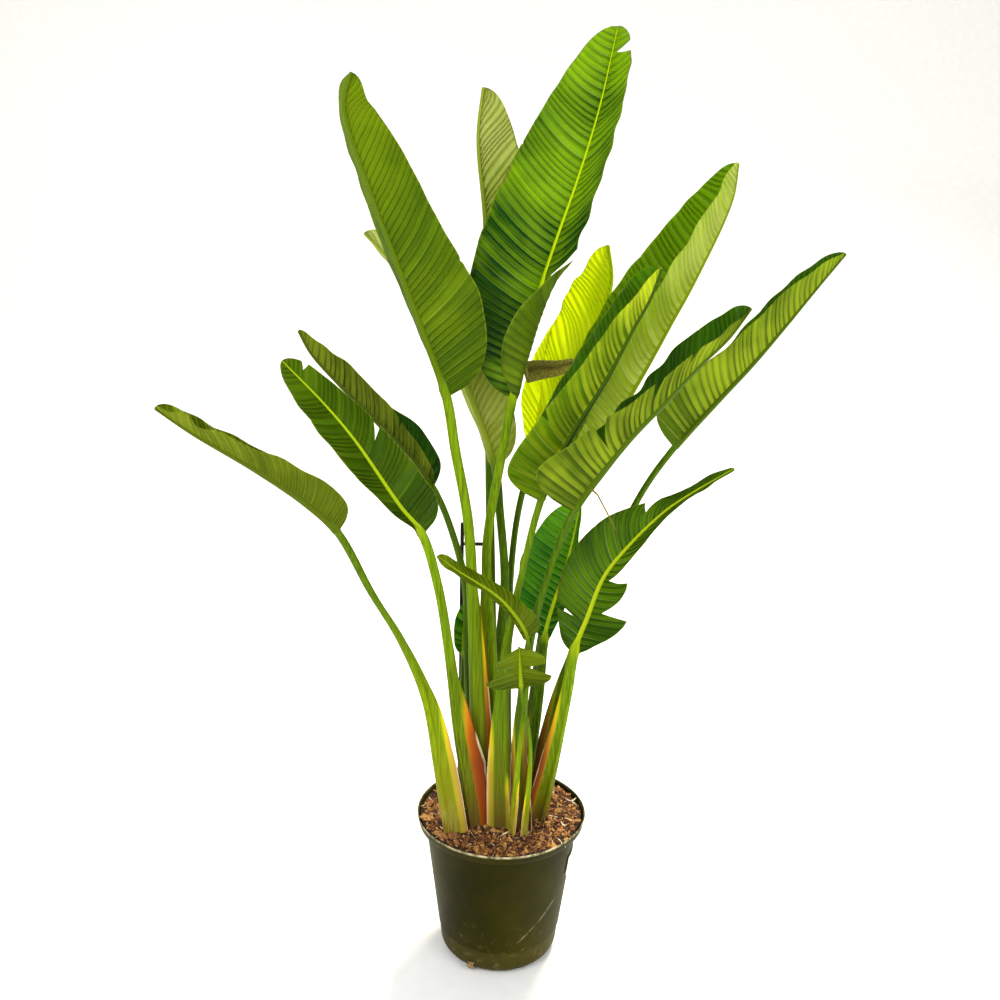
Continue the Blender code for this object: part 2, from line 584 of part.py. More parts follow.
def make_hole_cutter(leaves):
    """Plain holes: one for the foot of each stalk and each leg of the support."""
    points, faces = [], []
    holes = [hole_rings(leaf) for leaf in leaves]
    for x, y, top in STAKES:
        rod, rod_faces = tube((x, y, FOOT_DEPTH - GAP), (x, y, top), ROD_RADIUS + GAP, ROD_SIDES)
        holes.append((rod, rod_faces))
    for hole_points, hole_faces in holes:
        shift = len(points)
        points += hole_points
        faces += [tuple(v + shift for v in face) for face in hole_faces]
    return add_object("hole_cutter", points, faces, material("guide", "808080", 0.5))


def hole_rings(leaf):
    """The straight buried part of a stalk, with clearance, carried up clear of the soil."""
    spine = Spine(leaf)
    middle, along, across, out = spine.frame(0.0)
    angles = np.pi - (np.arange(RING) + 0.5) * 2 * np.pi / RING
    oval = (np.cos(angles)[:, None] * (leaf.foot[0] + HOLE_GAP) * across
            + np.sin(angles)[:, None] * (leaf.foot[1] + HOLE_GAP) * out)
    low = middle - along * HOLE_GAP
    high = middle + along * (SOIL_EDGE + SOIL_CROWN + 0.02 - FOOT_DEPTH) / along[2]
    return loft(np.array([low + oval, high + oval]), low, high)


# ---------------------------------------------------------------- support and leaves


def make_support():
    """Two black stakes joined by a cross bar, in one moulded piece."""
    black = material("black_plastic", "161614", 0.5)
    (left_x, y, _), (right_x, _, _) = STAKES
    points, faces = tube((left_x, y, BAR_HEIGHT), (right_x, y, BAR_HEIGHT), ROD_RADIUS, ROD_SIDES)
    support = add_object("support_frame", points, faces, black)
    stakes = bpy.data.collections.new("stakes")
    for x, y, top in STAKES:
        points, faces = tube((x, y, FOOT_DEPTH), (x, y, top), ROD_RADIUS, ROD_SIDES)
        stake = add_object("stake", points, faces, black)
        stakes.objects.link(stake)
    union = support.modifiers.new("union", "BOOLEAN")
    union.operation = "UNION"
    union.operand_type = "COLLECTION"
    union.collection = stakes
    bpy.context.view_layer.update()
    view = bpy.context.evaluated_depsgraph_get()
    support.data = bpy.data.meshes.new_from_object(support.evaluated_get(view))
    support.modifiers.clear()
    for stake in list(stakes.objects):
        bpy.data.objects.remove(stake, do_unlink=True)
    bpy.data.collections.remove(stakes)
    return support


def make_leaf(name, leaf, blade):
    rings, spine = leaf_rings(leaf)
    points, faces = loft(rings, spine.dense[0], spine.dense[-1])
    return add_object(name, points, faces, blade, location=tuple(spine.dense[0]))


def main():
    for thing in list(bpy.data.objects):
        bpy.data.objects.remove(thing, do_unlink=True)
    root = bpy.data.objects.new("potted_plant", None)
    bpy.context.scene.collection.objects.link(root)
    blade = material("leaf_green", "4F8A0C", 0.4)
    pieces = [make_pot(), make_soil(LEAVES.values()), make_support()]
    pieces += [make_leaf(name, leaf, blade) for name, leaf in LEAVES.items()]
    for piece in pieces:
        piece.parent = root


main()
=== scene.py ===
"""Looks of a potted bird of paradise: paddle leaves, sheathing stalks, bark and a nursery pot.

Metres, +Z up. The origin is the middle of the pot's underside. Each leaf is rebuilt here on
a fine grid from the same spine, widths and folds as its solid, and then gets what a blade
really has: pleated veins, a channelled stalk with papery sheath margins, a keeled midrib,
worn margins and small nicks.
"""

import json
import math
from dataclasses import dataclass

import bpy
import numpy as np
from mathutils import Matrix, Vector

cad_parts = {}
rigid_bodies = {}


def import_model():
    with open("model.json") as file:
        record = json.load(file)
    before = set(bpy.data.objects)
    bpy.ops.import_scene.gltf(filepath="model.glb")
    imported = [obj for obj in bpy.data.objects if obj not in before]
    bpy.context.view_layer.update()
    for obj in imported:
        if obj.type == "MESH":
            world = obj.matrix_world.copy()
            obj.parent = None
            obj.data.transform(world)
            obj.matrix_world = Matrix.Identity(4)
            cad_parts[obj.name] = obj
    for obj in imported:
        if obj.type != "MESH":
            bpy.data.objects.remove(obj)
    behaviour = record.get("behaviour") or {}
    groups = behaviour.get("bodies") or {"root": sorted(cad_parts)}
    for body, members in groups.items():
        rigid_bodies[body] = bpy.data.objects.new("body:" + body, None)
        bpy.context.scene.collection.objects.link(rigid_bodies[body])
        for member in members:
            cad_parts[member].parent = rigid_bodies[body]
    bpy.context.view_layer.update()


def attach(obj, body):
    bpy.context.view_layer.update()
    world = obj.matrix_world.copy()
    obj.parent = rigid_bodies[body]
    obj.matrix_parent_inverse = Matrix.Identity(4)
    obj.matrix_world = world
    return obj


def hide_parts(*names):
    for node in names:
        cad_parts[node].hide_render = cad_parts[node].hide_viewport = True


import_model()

MM = 0.001

# ---------------------------------------------------------------- leaf dimensions

BLADE_THICK = 0.0010
RIB_DEEP = (0.0050, 0.0012)     # midrib under the blade, at its base and near its tip
RIB_HALF = (0.0040, 0.0009)     # its half width
RIB_CHANNEL = 0.0009            # depth of the channel along the midrib's upper side
NECK = (0.0070, 0.0055)         # half width and half thickness of a stalk at the blade
NECK_RUN = 0.07                 # share of the blade over which the neck becomes the midrib
SHEATH_END = 0.8                # share of a stalk over which its sheathing foot narrows
FOOT_DEPTH = 0.195              # height of the stalks' lower ends, inside the soil
VEIN_LEAN = 0.085               # how far the rows of a blade sweep towards its tip
CREASE = 0.45                   # share of a half next to the midrib in which a flap folds over
TEAR = (0.012, 0.012)           # how far a plain tear opens to either side

COLUMNS = 16                    # cells across half a blade
RIB_COLUMNS = 3                 # those of them over the midrib
CURL_STEPS = 6                  # steps in which a half's curl is summed up
ROW_STEP = 0.0026               # between rows of cells along a blade
STALK_STEP = 0.008              # between rings of a stalk
PLEAT = 0.0105                  # spacing of the main side veins
PLEAT_DEEP = 0.0007             # height of the pleats between them
SWAY = 0.008                    # unevenness of the width, as a share of it
NICKS = 2                       # small nicks in each margin
GROOVE = 0.5                    # depth of the stalk's channel, as a share of its thickness
FOOT_START = 0.012              # how far above its lower end a stalk begins to be seen
SETTLE = 0.030                  # length of stalk in which its ring takes the midrib's form
WING_COLUMN = 10                # points from the middle of the channel to a sheath's wing
WING_POINTS = 3                 # points on either side of the wing's rim that make it
SHEATH_BANDS = (0.22, 0.42, 0.62, 0.90, 0.985)  # where its margin's colours lie, flesh to rim


@dataclass
class Leaf:
    """One leaf: left and right are as seen on the upper side with the tip up."""

    stalk: tuple                # points from the soil up to the blade
    rib: tuple                  # points along the midrib, from the blade's base to its tip
    left: tuple                 # width of the left half at five places, base to tip
    right: tuple                # width of the right half at the same places
    face: tuple                 # where the upper side looks at the foot, blade base and tip
    fold: tuple = ((50, 50), (50, 50))  # degrees each half rises, at the base and the tip
    foot: tuple = (0.010, 0.008)    # half width and half thickness of the stalk in the soil
    tears: tuple = ()           # (side, place, depth, (opening before, after)), side -1 left or 1
    flaps: tuple = ()           # (side, from, to, (fold, curl) at each) of stretches that hang
    neck: tuple = NECK


LEAVES = {
    # tall leaf on the left, its underside to the front
    "leaf_tall_left": Leaf(
        stalk=((-0.034, -0.020, 0.242), (-0.042, -0.022, 0.456), (-0.050, -0.020, 0.602),
               (-0.059, -0.014, 0.725), (-0.079, -0.010, 0.830)),
        rib=((-0.093, -0.008, 0.909), (-0.126, -0.012, 1.001), (-0.167, -0.025, 1.111),
             (-0.193, -0.040, 1.184), (-0.224, -0.065, 1.293), (-0.213, -0.075, 1.332)),
        left=(0.066, 0.093, 0.075, 0.057, 0.030), right=(0.026, 0.052, 0.074, 0.060, 0.048),
        face=((0.2, 0.95, 0), (0.60, 0.8, 0.2), (0.5, 0.85, 0.1)),
        fold=((33, 33), (38, 42)), foot=(0.014, 0.009), neck=(0.0080, 0.0062)),
    # narrow pale leaf at the back
    "leaf_back_narrow": Leaf(
        stalk=((-0.013, 0.034, 0.242), (-0.019, 0.076, 0.445), (-0.025, 0.086, 0.633),
               (-0.031, 0.095, 0.827)),
        rib=((-0.035, 0.103, 0.973), (-0.042, 0.115, 1.156), (-0.055, 0.130, 1.276),
             (-0.049, 0.140, 1.349)),
        left=(0.030, 0.058, 0.066, 0.060, 0.036), right=(0.020, 0.038, 0.045, 0.040, 0.024),
        face=((0.3, 0.95, 0), (0.55, 0.8, 0.1), (0.45, 0.8, 0)),
        fold=((33, 33), (60, 60)), foot=(0.009, 0.008)),
    # tallest leaf, its upper side to the front, torn and folded over low on the right
    "leaf_tallest": Leaf(
        stalk=((-0.006, -0.016, 0.242), (-0.022, -0.005, 0.532), (-0.031, 0.012, 0.654),
               (-0.027, 0.018, 0.717), (-0.013, 0.024, 0.802)),
        rib=((0.004, 0.030, 0.902), (0.034, 0.035, 1.040), (0.062, 0.040, 1.132),
             (0.089, 0.045, 1.214), (0.116, 0.055, 1.309), (0.138, 0.060, 1.420)),
        left=(0.058, 0.100, 0.103, 0.078, 0.040), right=(0.048, 0.074, 0.068, 0.064, 0.050),
        face=((-0.2, -0.95, 0), (-0.5, -0.85, 0.1), (-0.5, -0.85, 0.2)),
        fold=((33, 33), (36, 33)), foot=(0.012, 0.009),
        tears=((1, 0.34, 0.85, TEAR), (1, 0.93, 0.75, (0.025, 0.012))),
        flaps=((1, 0.0, 0.34, (-10, 200), (10, 30)),)),
    # leaf behind the two tall ones
    "leaf_behind_tall": Leaf(
        stalk=((-0.010, 0.006, 0.242), (-0.007, 0.020, 0.522), (-0.002, 0.035, 0.615),
               (-0.012, 0.047, 0.724)),
        rib=((-0.021, 0.055, 0.794), (-0.066, 0.063, 0.915), (-0.122, 0.067, 1.011),
             (-0.174, 0.068, 1.090), (-0.219, 0.068, 1.136)),
        left=(0.040, 0.056, 0.058, 0.048, 0.026), right=(0.035, 0.050, 0.055, 0.042, 0.022),
        face=((0.3, 0.95, 0), (0.5, 0.8, 0.4), (0.5, 0.8, 0.4)),
        fold=((33, 33), (35, 35)), foot=(0.009, 0.007)),
    # bright leaf right of the middle
    "leaf_bright": Leaf(
        stalk=((0.010, 0.036, 0.242), (0.006, 0.080, 0.431), (0.009, 0.098, 0.632),
               (0.021, 0.104, 0.730)),
        rib=((0.041, 0.108, 0.802), (0.071, 0.110, 0.889), (0.104, 0.112, 0.957),
             (0.135, 0.115, 1.011), (0.151, 0.120, 1.071), (0.144, 0.125, 1.126)),
        left=(0.040, 0.080, 0.090, 0.070, 0.035), right=(0.010, 0.028, 0.066, 0.073, 0.042),
        face=((-0.9, 0.1, 0.1), (-0.9, 0.2, 0.4), (-0.9, 0.2, 0.3)),
        foot=(0.009, 0.008)),
    # large leaf that leans right
    "leaf_right_large": Leaf(
        stalk=((0.030, 0.008, 0.242), (0.044, 0.037, 0.377), (0.061, 0.039, 0.547),
               (0.084, 0.033, 0.698)),
        rib=((0.106, 0.025, 0.819), (0.150, 0.020, 0.869), (0.188, 0.015, 0.938),
             (0.227, 0.010, 1.018), (0.258, 0.005, 1.083), (0.301, 0.005, 1.190),
             (0.307, 0.010, 1.239)),
        left=(0.070, 0.100, 0.100, 0.074, 0.042), right=(0.056, 0.092, 0.092, 0.074, 0.042),
        face=((-0.9, -0.2, 0.1), (-0.80, -0.20, 0.52), (-0.8, -0.25, 0.3)),
        foot=(0.010, 0.008)),
    # leaf in front of it, keel to the lower right and a round lobe at its base
    "leaf_right_lobed": Leaf(
        stalk=((0.000, -0.045, 0.242), (-0.003, -0.050, 0.454), (0.004, -0.045, 0.549),
               (0.023, -0.045, 0.659)),
        rib=((0.047, -0.050, 0.768), (0.077, -0.055, 0.846), (0.108, -0.060, 0.904),
             (0.132, -0.065, 0.948), (0.162, -0.075, 1.014), (0.183, -0.080, 1.057),
             (0.195, -0.085, 1.097)),
        left=(0.050, 0.072, 0.074, 0.058, 0.042), right=(0.064, 0.060, 0.048, 0.034, 0.016),
        face=((-0.2, -0.95, 0.1), (-0.8, 0.3, 0.5), (-0.8, 0.15, 0.5)),
        fold=((52, 52), (52, 52)), foot=(0.0175, 0.0105), tears=((1, 0.26, 0.3, TEAR),)),
    # front leaf on the right, its near half torn into four
    "leaf_right_torn": Leaf(
        stalk=((0.033, -0.047, 0.242), (0.027, -0.062, 0.427), (0.037, -0.068, 0.559),
               (0.057, -0.076, 0.654)),
        rib=((0.092, -0.090, 0.763), (0.128, -0.095, 0.820), (0.164, -0.100, 0.870),
             (0.206, -0.105, 0.919), (0.250, -0.110, 0.972), (0.284, -0.115, 1.009),
             (0.310, -0.120, 1.049)),
        left=(0.046, 0.055, 0.048, 0.046, 0.028), right=(0.084, 0.067, 0.040, 0.024, 0.008),
        face=((-0.2, -0.95, 0.1), (-0.7, 0.3, 0.7), (-0.7, 0.0, 0.7)),
        foot=(0.012, 0.009),
        tears=((1, 0.27, 0.8, (0.012, 0.03)), (1, 0.50, 0.6, (0.012, 0.03)),
               (1, 0.68, 0.5, (0.012, 0.03)))),
    # far right leaf
    "leaf_far_right": Leaf(
        stalk=((0.064, 0.016, 0.242), (0.091, 0.020, 0.423), (0.125, 0.030, 0.555),
               (0.168, 0.040, 0.675), (0.207, 0.045, 0.763)),
        rib=((0.251, 0.045, 0.831), (0.306, 0.040, 0.900), (0.357, 0.035, 0.962),
             (0.399, 0.030, 1.019), (0.438, 0.025, 1.074), (0.472, 0.020, 1.121)),
        left=(0.048, 0.054, 0.054, 0.042, 0.022), right=(0.066, 0.068, 0.058, 0.050, 0.022),
        face=((-0.4, -0.9, 0.1), (-0.7, 0.35, 0.6), (-0.7, -0.1, 0.6)),
        foot=(0.014, 0.010)),
    # low leaf on the right, torn at its tip and along its right half
    "leaf_low_right": Leaf(
        stalk=((0.058, -0.018, 0.242), (0.082, -0.034, 0.375), (0.096, -0.042, 0.465)),
        rib=((0.103, -0.050, 0.533), (0.120, -0.056, 0.589), (0.142, -0.060, 0.656),
             (0.175, -0.066, 0.706), (0.223, -0.074, 0.761), (0.259, -0.082, 0.791),
             (0.312, -0.090, 0.828)),
        left=(0.030, 0.056, 0.054, 0.014, 0.009), right=(0.026, 0.062, 0.024, 0.010, 0.007),
        face=((-0.1, -0.95, 0.1), (-0.3, -0.9, 0.2), (-0.5, -0.5, 0.7)),
        fold=((20, 20), (10, 25)), foot=(0.0150, 0.0105), neck=(0.0085, 0.0065),
        tears=((-1, 0.14, 0.6, TEAR), (-1, 0.61, 0.5, (0.03, 0.03)),
               (1, 0.20, 0.72, (0.012, 0.11)), (1, 0.34, 0.85, (0.012, 0.14)))),
    # low leaf in the middle, its upper side to the front
    "leaf_low_middle": Leaf(
        stalk=((0.030, -0.018, 0.242), (0.049, -0.003, 0.364), (0.057, 0.005, 0.447)),
        rib=((0.062, 0.013, 0.528), (0.074, 0.015, 0.585), (0.087, 0.015, 0.628),
             (0.099, 0.012, 0.687), (0.109, 0.011, 0.748)),
        left=(0.022, 0.056, 0.070, 0.056, 0.034), right=(0.014, 0.024, 0.022, 0.012, 0.006),
        face=((-0.2, -0.95, 0), (-0.4, -0.92, 0.1), (-0.3, -0.95, 0.2)),
        fold=((15, 15), (30, 30)), foot=(0.008, 0.008)),
    # small folded leaf in front, pointing left
    "leaf_small_folded": Leaf(
        stalk=((0.016, -0.066, 0.242), (0.026, -0.079, 0.401), (0.034, -0.077, 0.502)),
        rib=((0.032, -0.082, 0.566), (0.003, -0.092, 0.617), (-0.021, -0.102, 0.643),
             (-0.049, -0.115, 0.666), (-0.072, -0.127, 0.685), (-0.096, -0.140, 0.708)),
        left=(0.014, 0.017, 0.014, 0.013, 0.012), right=(0.026, 0.021, 0.015, 0.012, 0.009),
        face=((0, -1, 0), (0.4, -0.7, 0.6), (0.1, -0.6, 0.8)),
        fold=((35, 20), (35, 20)), foot=(0.005, 0.005), neck=(0.003, 0.003)),
    # smallest leaf, a torn crescent in front
    "leaf_small_crescent": Leaf(
        stalk=((0.037, -0.068, 0.242), (0.041, -0.078, 0.398), (0.028, -0.090, 0.470)),
        rib=((0.025, -0.092, 0.492), (0.022, -0.100, 0.531), (0.020, -0.110, 0.564)),
        left=(0.010, 0.044, 0.060, 0.048, 0.040), right=(0.010, 0.038, 0.050, 0.040, 0.034),
        face=((0, -1, 0), (0, -0.8, 0.6), (0, -0.6, 0.8)),
        fold=((30, 30), (30, 30)), foot=(0.005, 0.005), neck=(0.0025, 0.0025),
        tears=((-1, 0.56, 0.8, (0.16, 0.14)), (1, 0.56, 0.8, (0.16, 0.14)))),
    # far left leaf, keel down, nearly edge on
    "leaf_far_left": Leaf(
        stalk=((-0.074, -0.057, 0.242), (-0.091, -0.060, 0.347), (-0.113, -0.070, 0.461),
               (-0.152, -0.085, 0.562), (-0.193, -0.100, 0.641)),
        rib=((-0.236, -0.120, 0.734), (-0.274, -0.130, 0.775), (-0.339, -0.150, 0.827),
             (-0.412, -0.170, 0.877), (-0.456, -0.180, 0.911)),
        left=(0.036, 0.040, 0.032, 0.024, 0.018), right=(0.026, 0.032, 0.028, 0.022, 0.016),
        face=((0.2, -0.95, 0.1), (0.4, 0.5, 0.7), (0.3, -0.1, 0.9)),
        fold=((60, 50), (70, 60)), foot=(0.0165, 0.010)),
    # second leaf on the left, open
    "leaf_left_open": Leaf(
        stalk=((-0.040, -0.043, 0.242), (-0.047, -0.045, 0.290), (-0.066, -0.045, 0.399),
               (-0.084, -0.046, 0.531), (-0.101, -0.050, 0.635)),
        rib=((-0.124, -0.055, 0.714), (-0.154, -0.060, 0.754), (-0.217, -0.075, 0.854),
             (-0.256, -0.085, 0.905), (-0.309, -0.100, 0.965)),
        left=(0.014, 0.034, 0.050, 0.044, 0.024), right=(0.046, 0.052, 0.042, 0.030, 0.020),
        face=((0.2, -0.95, 0.1), (0.3, -0.8, 0.6), (0.3, -0.7, 0.6)),
        fold=((40, 10), (25, 30)), foot=(0.0130, 0.009),
        tears=((1, 0.45, 0.5, (0.012, 0.025)), (1, 0.90, 0.5, (0.02, 0.02)))),
    # third leaf on the left, its near half narrow
    "leaf_left_back": Leaf(
        stalk=((-0.040, 0.003, 0.242), (-0.057, 0.002, 0.513), (-0.061, 0.004, 0.609),
               (-0.079, 0.004, 0.689)),
        rib=((-0.111, 0.000, 0.770), (-0.160, -0.002, 0.832), (-0.198, -0.006, 0.875),
             (-0.248, -0.012, 0.926), (-0.284, -0.018, 0.968), (-0.301, -0.020, 1.000)),
        left=(0.016, 0.026, 0.034, 0.034, 0.016), right=(0.038, 0.048, 0.028, 0.022, 0.010),
        face=((0.2, -0.95, 0.1), (0.6, 0.15, 0.7), (0.6, 0.15, 0.7)),
        fold=((60, 55), (50, 75)), tears=((-1, 0.30, 0.5, TEAR), (1, 0.40, 0.9, (0.012, 0.04)))),
    # young leaf behind the left stalks
    "leaf_young": Leaf(
        stalk=((-0.066, 0.014, 0.242), (-0.066, 0.014, 0.390)),
        rib=((-0.064, 0.014, 0.500), (-0.064, 0.015, 0.550), (-0.060, 0.018, 0.590)),
        left=(0.010, 0.017, 0.018, 0.013, 0.006), right=(0.008, 0.014, 0.016, 0.011, 0.005),
        face=((0, -1, 0), (0.2, -0.9, 0.1), (0.2, -0.9, 0.1)),
        fold=((20, 20), (20, 20)), foot=(0.006, 0.006), neck=(0.004, 0.004)),
}


# ---------------------------------------------------------------- leaf shape


def unit(vector):
    return vector / np.linalg.norm(vector, axis=-1, keepdims=True)


def smooth_curve(points, steps=16):
    """Close-set points on a smooth curve through the given ones, and where those fall on it."""
    knots = np.array(points, dtype=float)
    ends = np.vstack([2 * knots[0] - knots[1], knots, 2 * knots[-1] - knots[-2]])
    spans = np.sqrt(np.linalg.norm(np.diff(ends, axis=0), axis=1))
    marks = np.concatenate([[0], np.cumsum(spans)])
    dense = []
    for k in range(1, len(knots)):
        t0, t1, t2, t3 = marks[k - 1:k + 3]
        t = np.linspace(t1, t2, steps, endpoint=False)[:, None]
        a1 = (t1 - t) / (t1 - t0) * ends[k - 1] + (t - t0) / (t1 - t0) * ends[k]
        a2 = (t2 - t) / (t2 - t1) * ends[k] + (t - t1) / (t2 - t1) * ends[k + 1]
        a3 = (t3 - t) / (t3 - t2) * ends[k + 1] + (t - t2) / (t3 - t2) * ends[k + 2]
        b1 = (t2 - t) / (t2 - t0) * a1 + (t - t0) / (t2 - t0) * a2
        b2 = (t3 - t) / (t3 - t1) * a2 + (t - t1) / (t3 - t1) * a3
        dense.append((t2 - t) / (t2 - t1) * b1 + (t - t1) / (t2 - t1) * b2)
    dense.append(knots[-1:])
    return np.vstack(dense), [steps * k for k in range(len(knots))]


class Spine:
    """The middle line of a leaf, with the directions across and out of its upper side."""

    def __init__(self, leaf):
        foot = np.array(leaf.stalk[0])
        rise = unit(np.array(leaf.stalk[1]) - foot)
        buried = foot - rise * (foot[2] - FOOT_DEPTH) / rise[2]
        points = (tuple(buried),) + leaf.stalk + leaf.rib
        self.dense, knots = smooth_curve(points)
        steps = np.linalg.norm(np.diff(self.dense, axis=0), axis=1)
        self.length = np.concatenate([[0], np.cumsum(steps)])
        self.base = self.length[knots[len(leaf.stalk) + 1]]
        self.soil = self.length[knots[1]]
        self.end = self.length[-1]
        self.blade = self.end - self.base
        self.tangents = unit(np.gradient(self.dense, self.length, axis=0))
        marks = (self.soil, self.base, self.end)
        looks = np.array(leaf.face, dtype=float)
        look = np.stack([np.interp(self.length, marks, looks[:, k]) for k in range(3)], axis=1)
        look -= self.tangents * np.sum(look * self.tangents, axis=1, keepdims=True)
        self.normals = unit(look)

    def read(self, values, place):
        return np.stack([np.interp(place, self.length, values[:, k]) for k in range(3)], axis=-1)

    def frame(self, place):
        """Point, direction along, across to the right, and out of the upper side."""
        along = unit(self.read(self.tangents, place))
        out = self.read(self.normals, place)
        out = unit(out - along * np.sum(along * out, axis=-1, keepdims=True))
        return self.read(self.dense, place), along, np.cross(along, out), out


class Wander:
    """A smooth seeded wiggle between about -1 and 1."""

    def __init__(self, rng, waves, count=5):
        self.rates = rng.uniform(0.5, 1.0, count) * waves * 2 * np.pi
        self.shifts = rng.uniform(0, 2 * np.pi, count)
        self.sizes = rng.uniform(0.4, 1.0, count)
        self.sizes /= self.sizes.sum()

    def at(self, u):
        turns = np.multiply.outer(u, self.rates) + self.shifts
        return 1.6 * np.sum(np.sin(turns) * self.sizes, axis=-1)


def profile(leaf, side, u):
    """Width of one half of the blade at u: a smooth line through its five widths."""
    row = leaf.left if side < 0 else leaf.right
    widths = np.array((-row[0], 0.0) + row + (0.0, -row[-1]))
    place = np.arccos(1 - 2 * np.clip(u, 0, 1)) / np.pi * (len(row) + 1)
    k = np.minimum(place.astype(int), len(row))
    t = place - k
    a, b, c, d = (widths[k + n] for n in range(4))
    bend = 2 * a - 5 * b + 4 * c - d + (3 * b - a - 3 * c + d) * t
    return np.maximum(0.0, b + 0.5 * t * (c - a + t * bend))


def side_angles(leaf, side, u):
    """Fold at the midrib and curl across one half of the blade at u, in radians."""
    index = 0 if side < 0 else 1
    fold, curl = np.interp(u, (0, 1), leaf.fold[index]), 0.0
    for flap_side, start, stop, first, last in leaf.flaps:
        if flap_side == side and start <= u < stop:
            fold, curl = (np.interp(u, (start, stop), pair) for pair in zip(first, last))
    return math.radians(fold), math.radians(curl)


class Blade:
    """The fine blade of one leaf: where its rows lie, and the rings of points along them."""

    def __init__(self, leaf, rng, waves, sweep):
        self.leaf = leaf
        self.waves = waves
        self.sweep = sweep
        self.spine = Spine(leaf)
        self.pleats = Wander(rng, self.spine.blade / 0.06)
        self.ripples = {side: Wander(rng, self.spine.blade / 0.045) for side in (-1, 1)}
        self.notches = list(leaf.tears)
        for side in (-1, 1):
            for place in rng.uniform(0.12, 0.97, NICKS):
                wide = rng.uniform(0.004, 0.009)
                self.notches.append((side, place, rng.uniform(0.01, 0.03), (wide, wide)))

    def rows(self):
        count = round(self.spine.blade / ROW_STEP)
        marks = set()
        for _, place, _, (before, after) in self.leaf.tears:
            marks |= {place - before, place, place + after}
        rows = [(k + 0.5) / count for k in range(count)]
        rows = [u for u in rows if all(abs(u - mark) > 0.5 / count for mark in marks)]
        return sorted(rows + list(marks))

    def notch(self, side, u):
        """How much of the half is missing from the margin inwards at u."""
        missing = 0.0
        for notch_side, place, depth, (before, after) in self.notches:
            if notch_side == side:
                opening = before if u < place else after
                missing = max(missing, depth * (1 - abs(u - place) / opening))
        return missing

    def pleat(self, u, reach):
        """Number of side veins between the blade's base and each point of the row at u.

        A vein leaves the midrib at a narrow angle, bends outwards, and leans towards the
        tip, more so near it.
        """
        start = u - self.sweep * (0.55 + u) * reach ** 0.65
        return start * self.spine.blade / PLEAT + 0.5 * self.pleats.at(start)

    def half_row(self, side, u, grown, rib):
        """Upper and lower points of one half at u, from beside the midrib to the margin.

        grown is how far the stalk's neck has become the midrib, and rib its half width.
        """
        leaf, spine = self.leaf, self.spine
        column = np.arange(1, COLUMNS + 1)
        share = np.minimum(column / RIB_COLUMNS, 1)
        v = np.maximum(column - RIB_COLUMNS, 0) / (COLUMNS - RIB_COLUMNS)
        reach = v * (1 - self.notch(side, u))
        place = u + VEIN_LEAN * reach ** 1.4 * math.sin(math.pi * u)
        middle, _, across, out = spine.frame(spine.base + place * spine.blade)
        fold, curl = side_angles(leaf, side, u)
        half = profile(leaf, side, place) * (1 + SWAY * self.ripples[side].at(u))
        beyond = np.maximum(half - rib, 0) * reach
        steps = (np.arange(CURL_STEPS) + 0.5) / CURL_STEPS
        turns = fold + curl * np.minimum(np.outer(reach, steps) / CREASE, 1)
        root = fold * grown
        sideways = side * (rib * share * math.cos(root) + beyond * np.cos(turns).mean(axis=1))
        upward = rib * share * math.sin(root) + beyond * np.sin(turns).mean(axis=1)
        turn = (fold + curl * np.minimum(reach / CREASE, 1))[:, None]
        turn = np.where(share[:, None] < 1, root, turn)
        normal = out * np.cos(turn) - side * across * np.sin(turn)
        flat = np.clip(v / 0.12, 0, 1) * np.clip((1.05 - v) / 0.25, 0.3, 1)
        veins = self.pleat(u, reach)
        wave = np.abs(np.sin(np.pi * veins)) - 0.5
        lift = PLEAT_DEEP * wave * flat + self.waves * v ** 3 * self.ripples[side].at(u + 0.3)
        bow = np.sqrt(1 - share ** 2)
        neck = leaf.neck[1] * (1 - grown)
        dip = 0.25 * neck * np.exp(-(share / 0.5) ** 4)
        lift = lift + neck * bow - RIB_CHANNEL * grown * bow ** 2
        deep = np.interp(u, (0, 1), RIB_DEEP) * grown
        upper = middle + across * sideways[:, None] + out * upward[:, None]
        upper = upper + normal * lift[:, None]
        thick = BLADE_THICK * (1 - 0.5 * v ** 4) + (deep + 2 * neck) * bow
        return upper - normal * dip[:, None], upper - normal * thick[:, None], v, veins

    def ring(self, u):
        """Points round the blade at u, and what the leaf's finish needs to know of each."""
        spine = self.spine
        grown = np.clip(u / NECK_RUN, 0, 1)
        grown = grown ** 2 * (3 - 2 * grown)
        rib = self.leaf.neck[0] * (1 - grown) + np.interp(u, (0, 1), RIB_HALF) * grown
        neck = self.leaf.neck[1] * (1 - grown)
        middle, _, _, out = spine.frame(spine.base + u * spine.blade)
        left_up, left_low, v, left = self.half_row(-1, u, grown, rib)
        right_up, right_low, _, right = self.half_row(1, u, grown, rib)
        top = middle + out * (0.75 * neck - RIB_CHANNEL * grown)
        deep = np.interp(u, (0, 1), RIB_DEEP) * grown
        low = middle - out * (neck + deep + BLADE_THICK + RIB_CHANNEL * grown)
        points = np.vstack([left_up[::-1], top, right_up, right_low[::-1], low, left_low])
        outward = np.concatenate([v[::-1], [0], v, v[::-1], [0], v])
        veins = np.concatenate([left[::-1], left[:1], right, right[::-1], left[:1], left])
        return points, outward, veins


def quarter(settled):
    """Angles of the points on a quarter of a stalk, gathered to its side where settled is 1."""
    column = np.arange(1, COLUMNS + 1)
    rib = column[:RIB_COLUMNS - 1]
    even = (COLUMNS + 0.5 - column) * math.pi / (2 * COLUMNS + 1)
    side = np.radians(4) * (COLUMNS + 1 - column) / (COLUMNS + 1 - RIB_COLUMNS)
    gathered = np.concatenate([np.arccos(rib / RIB_COLUMNS), side[len(rib):]])
    return even * (1 - settled) + gathered * settled


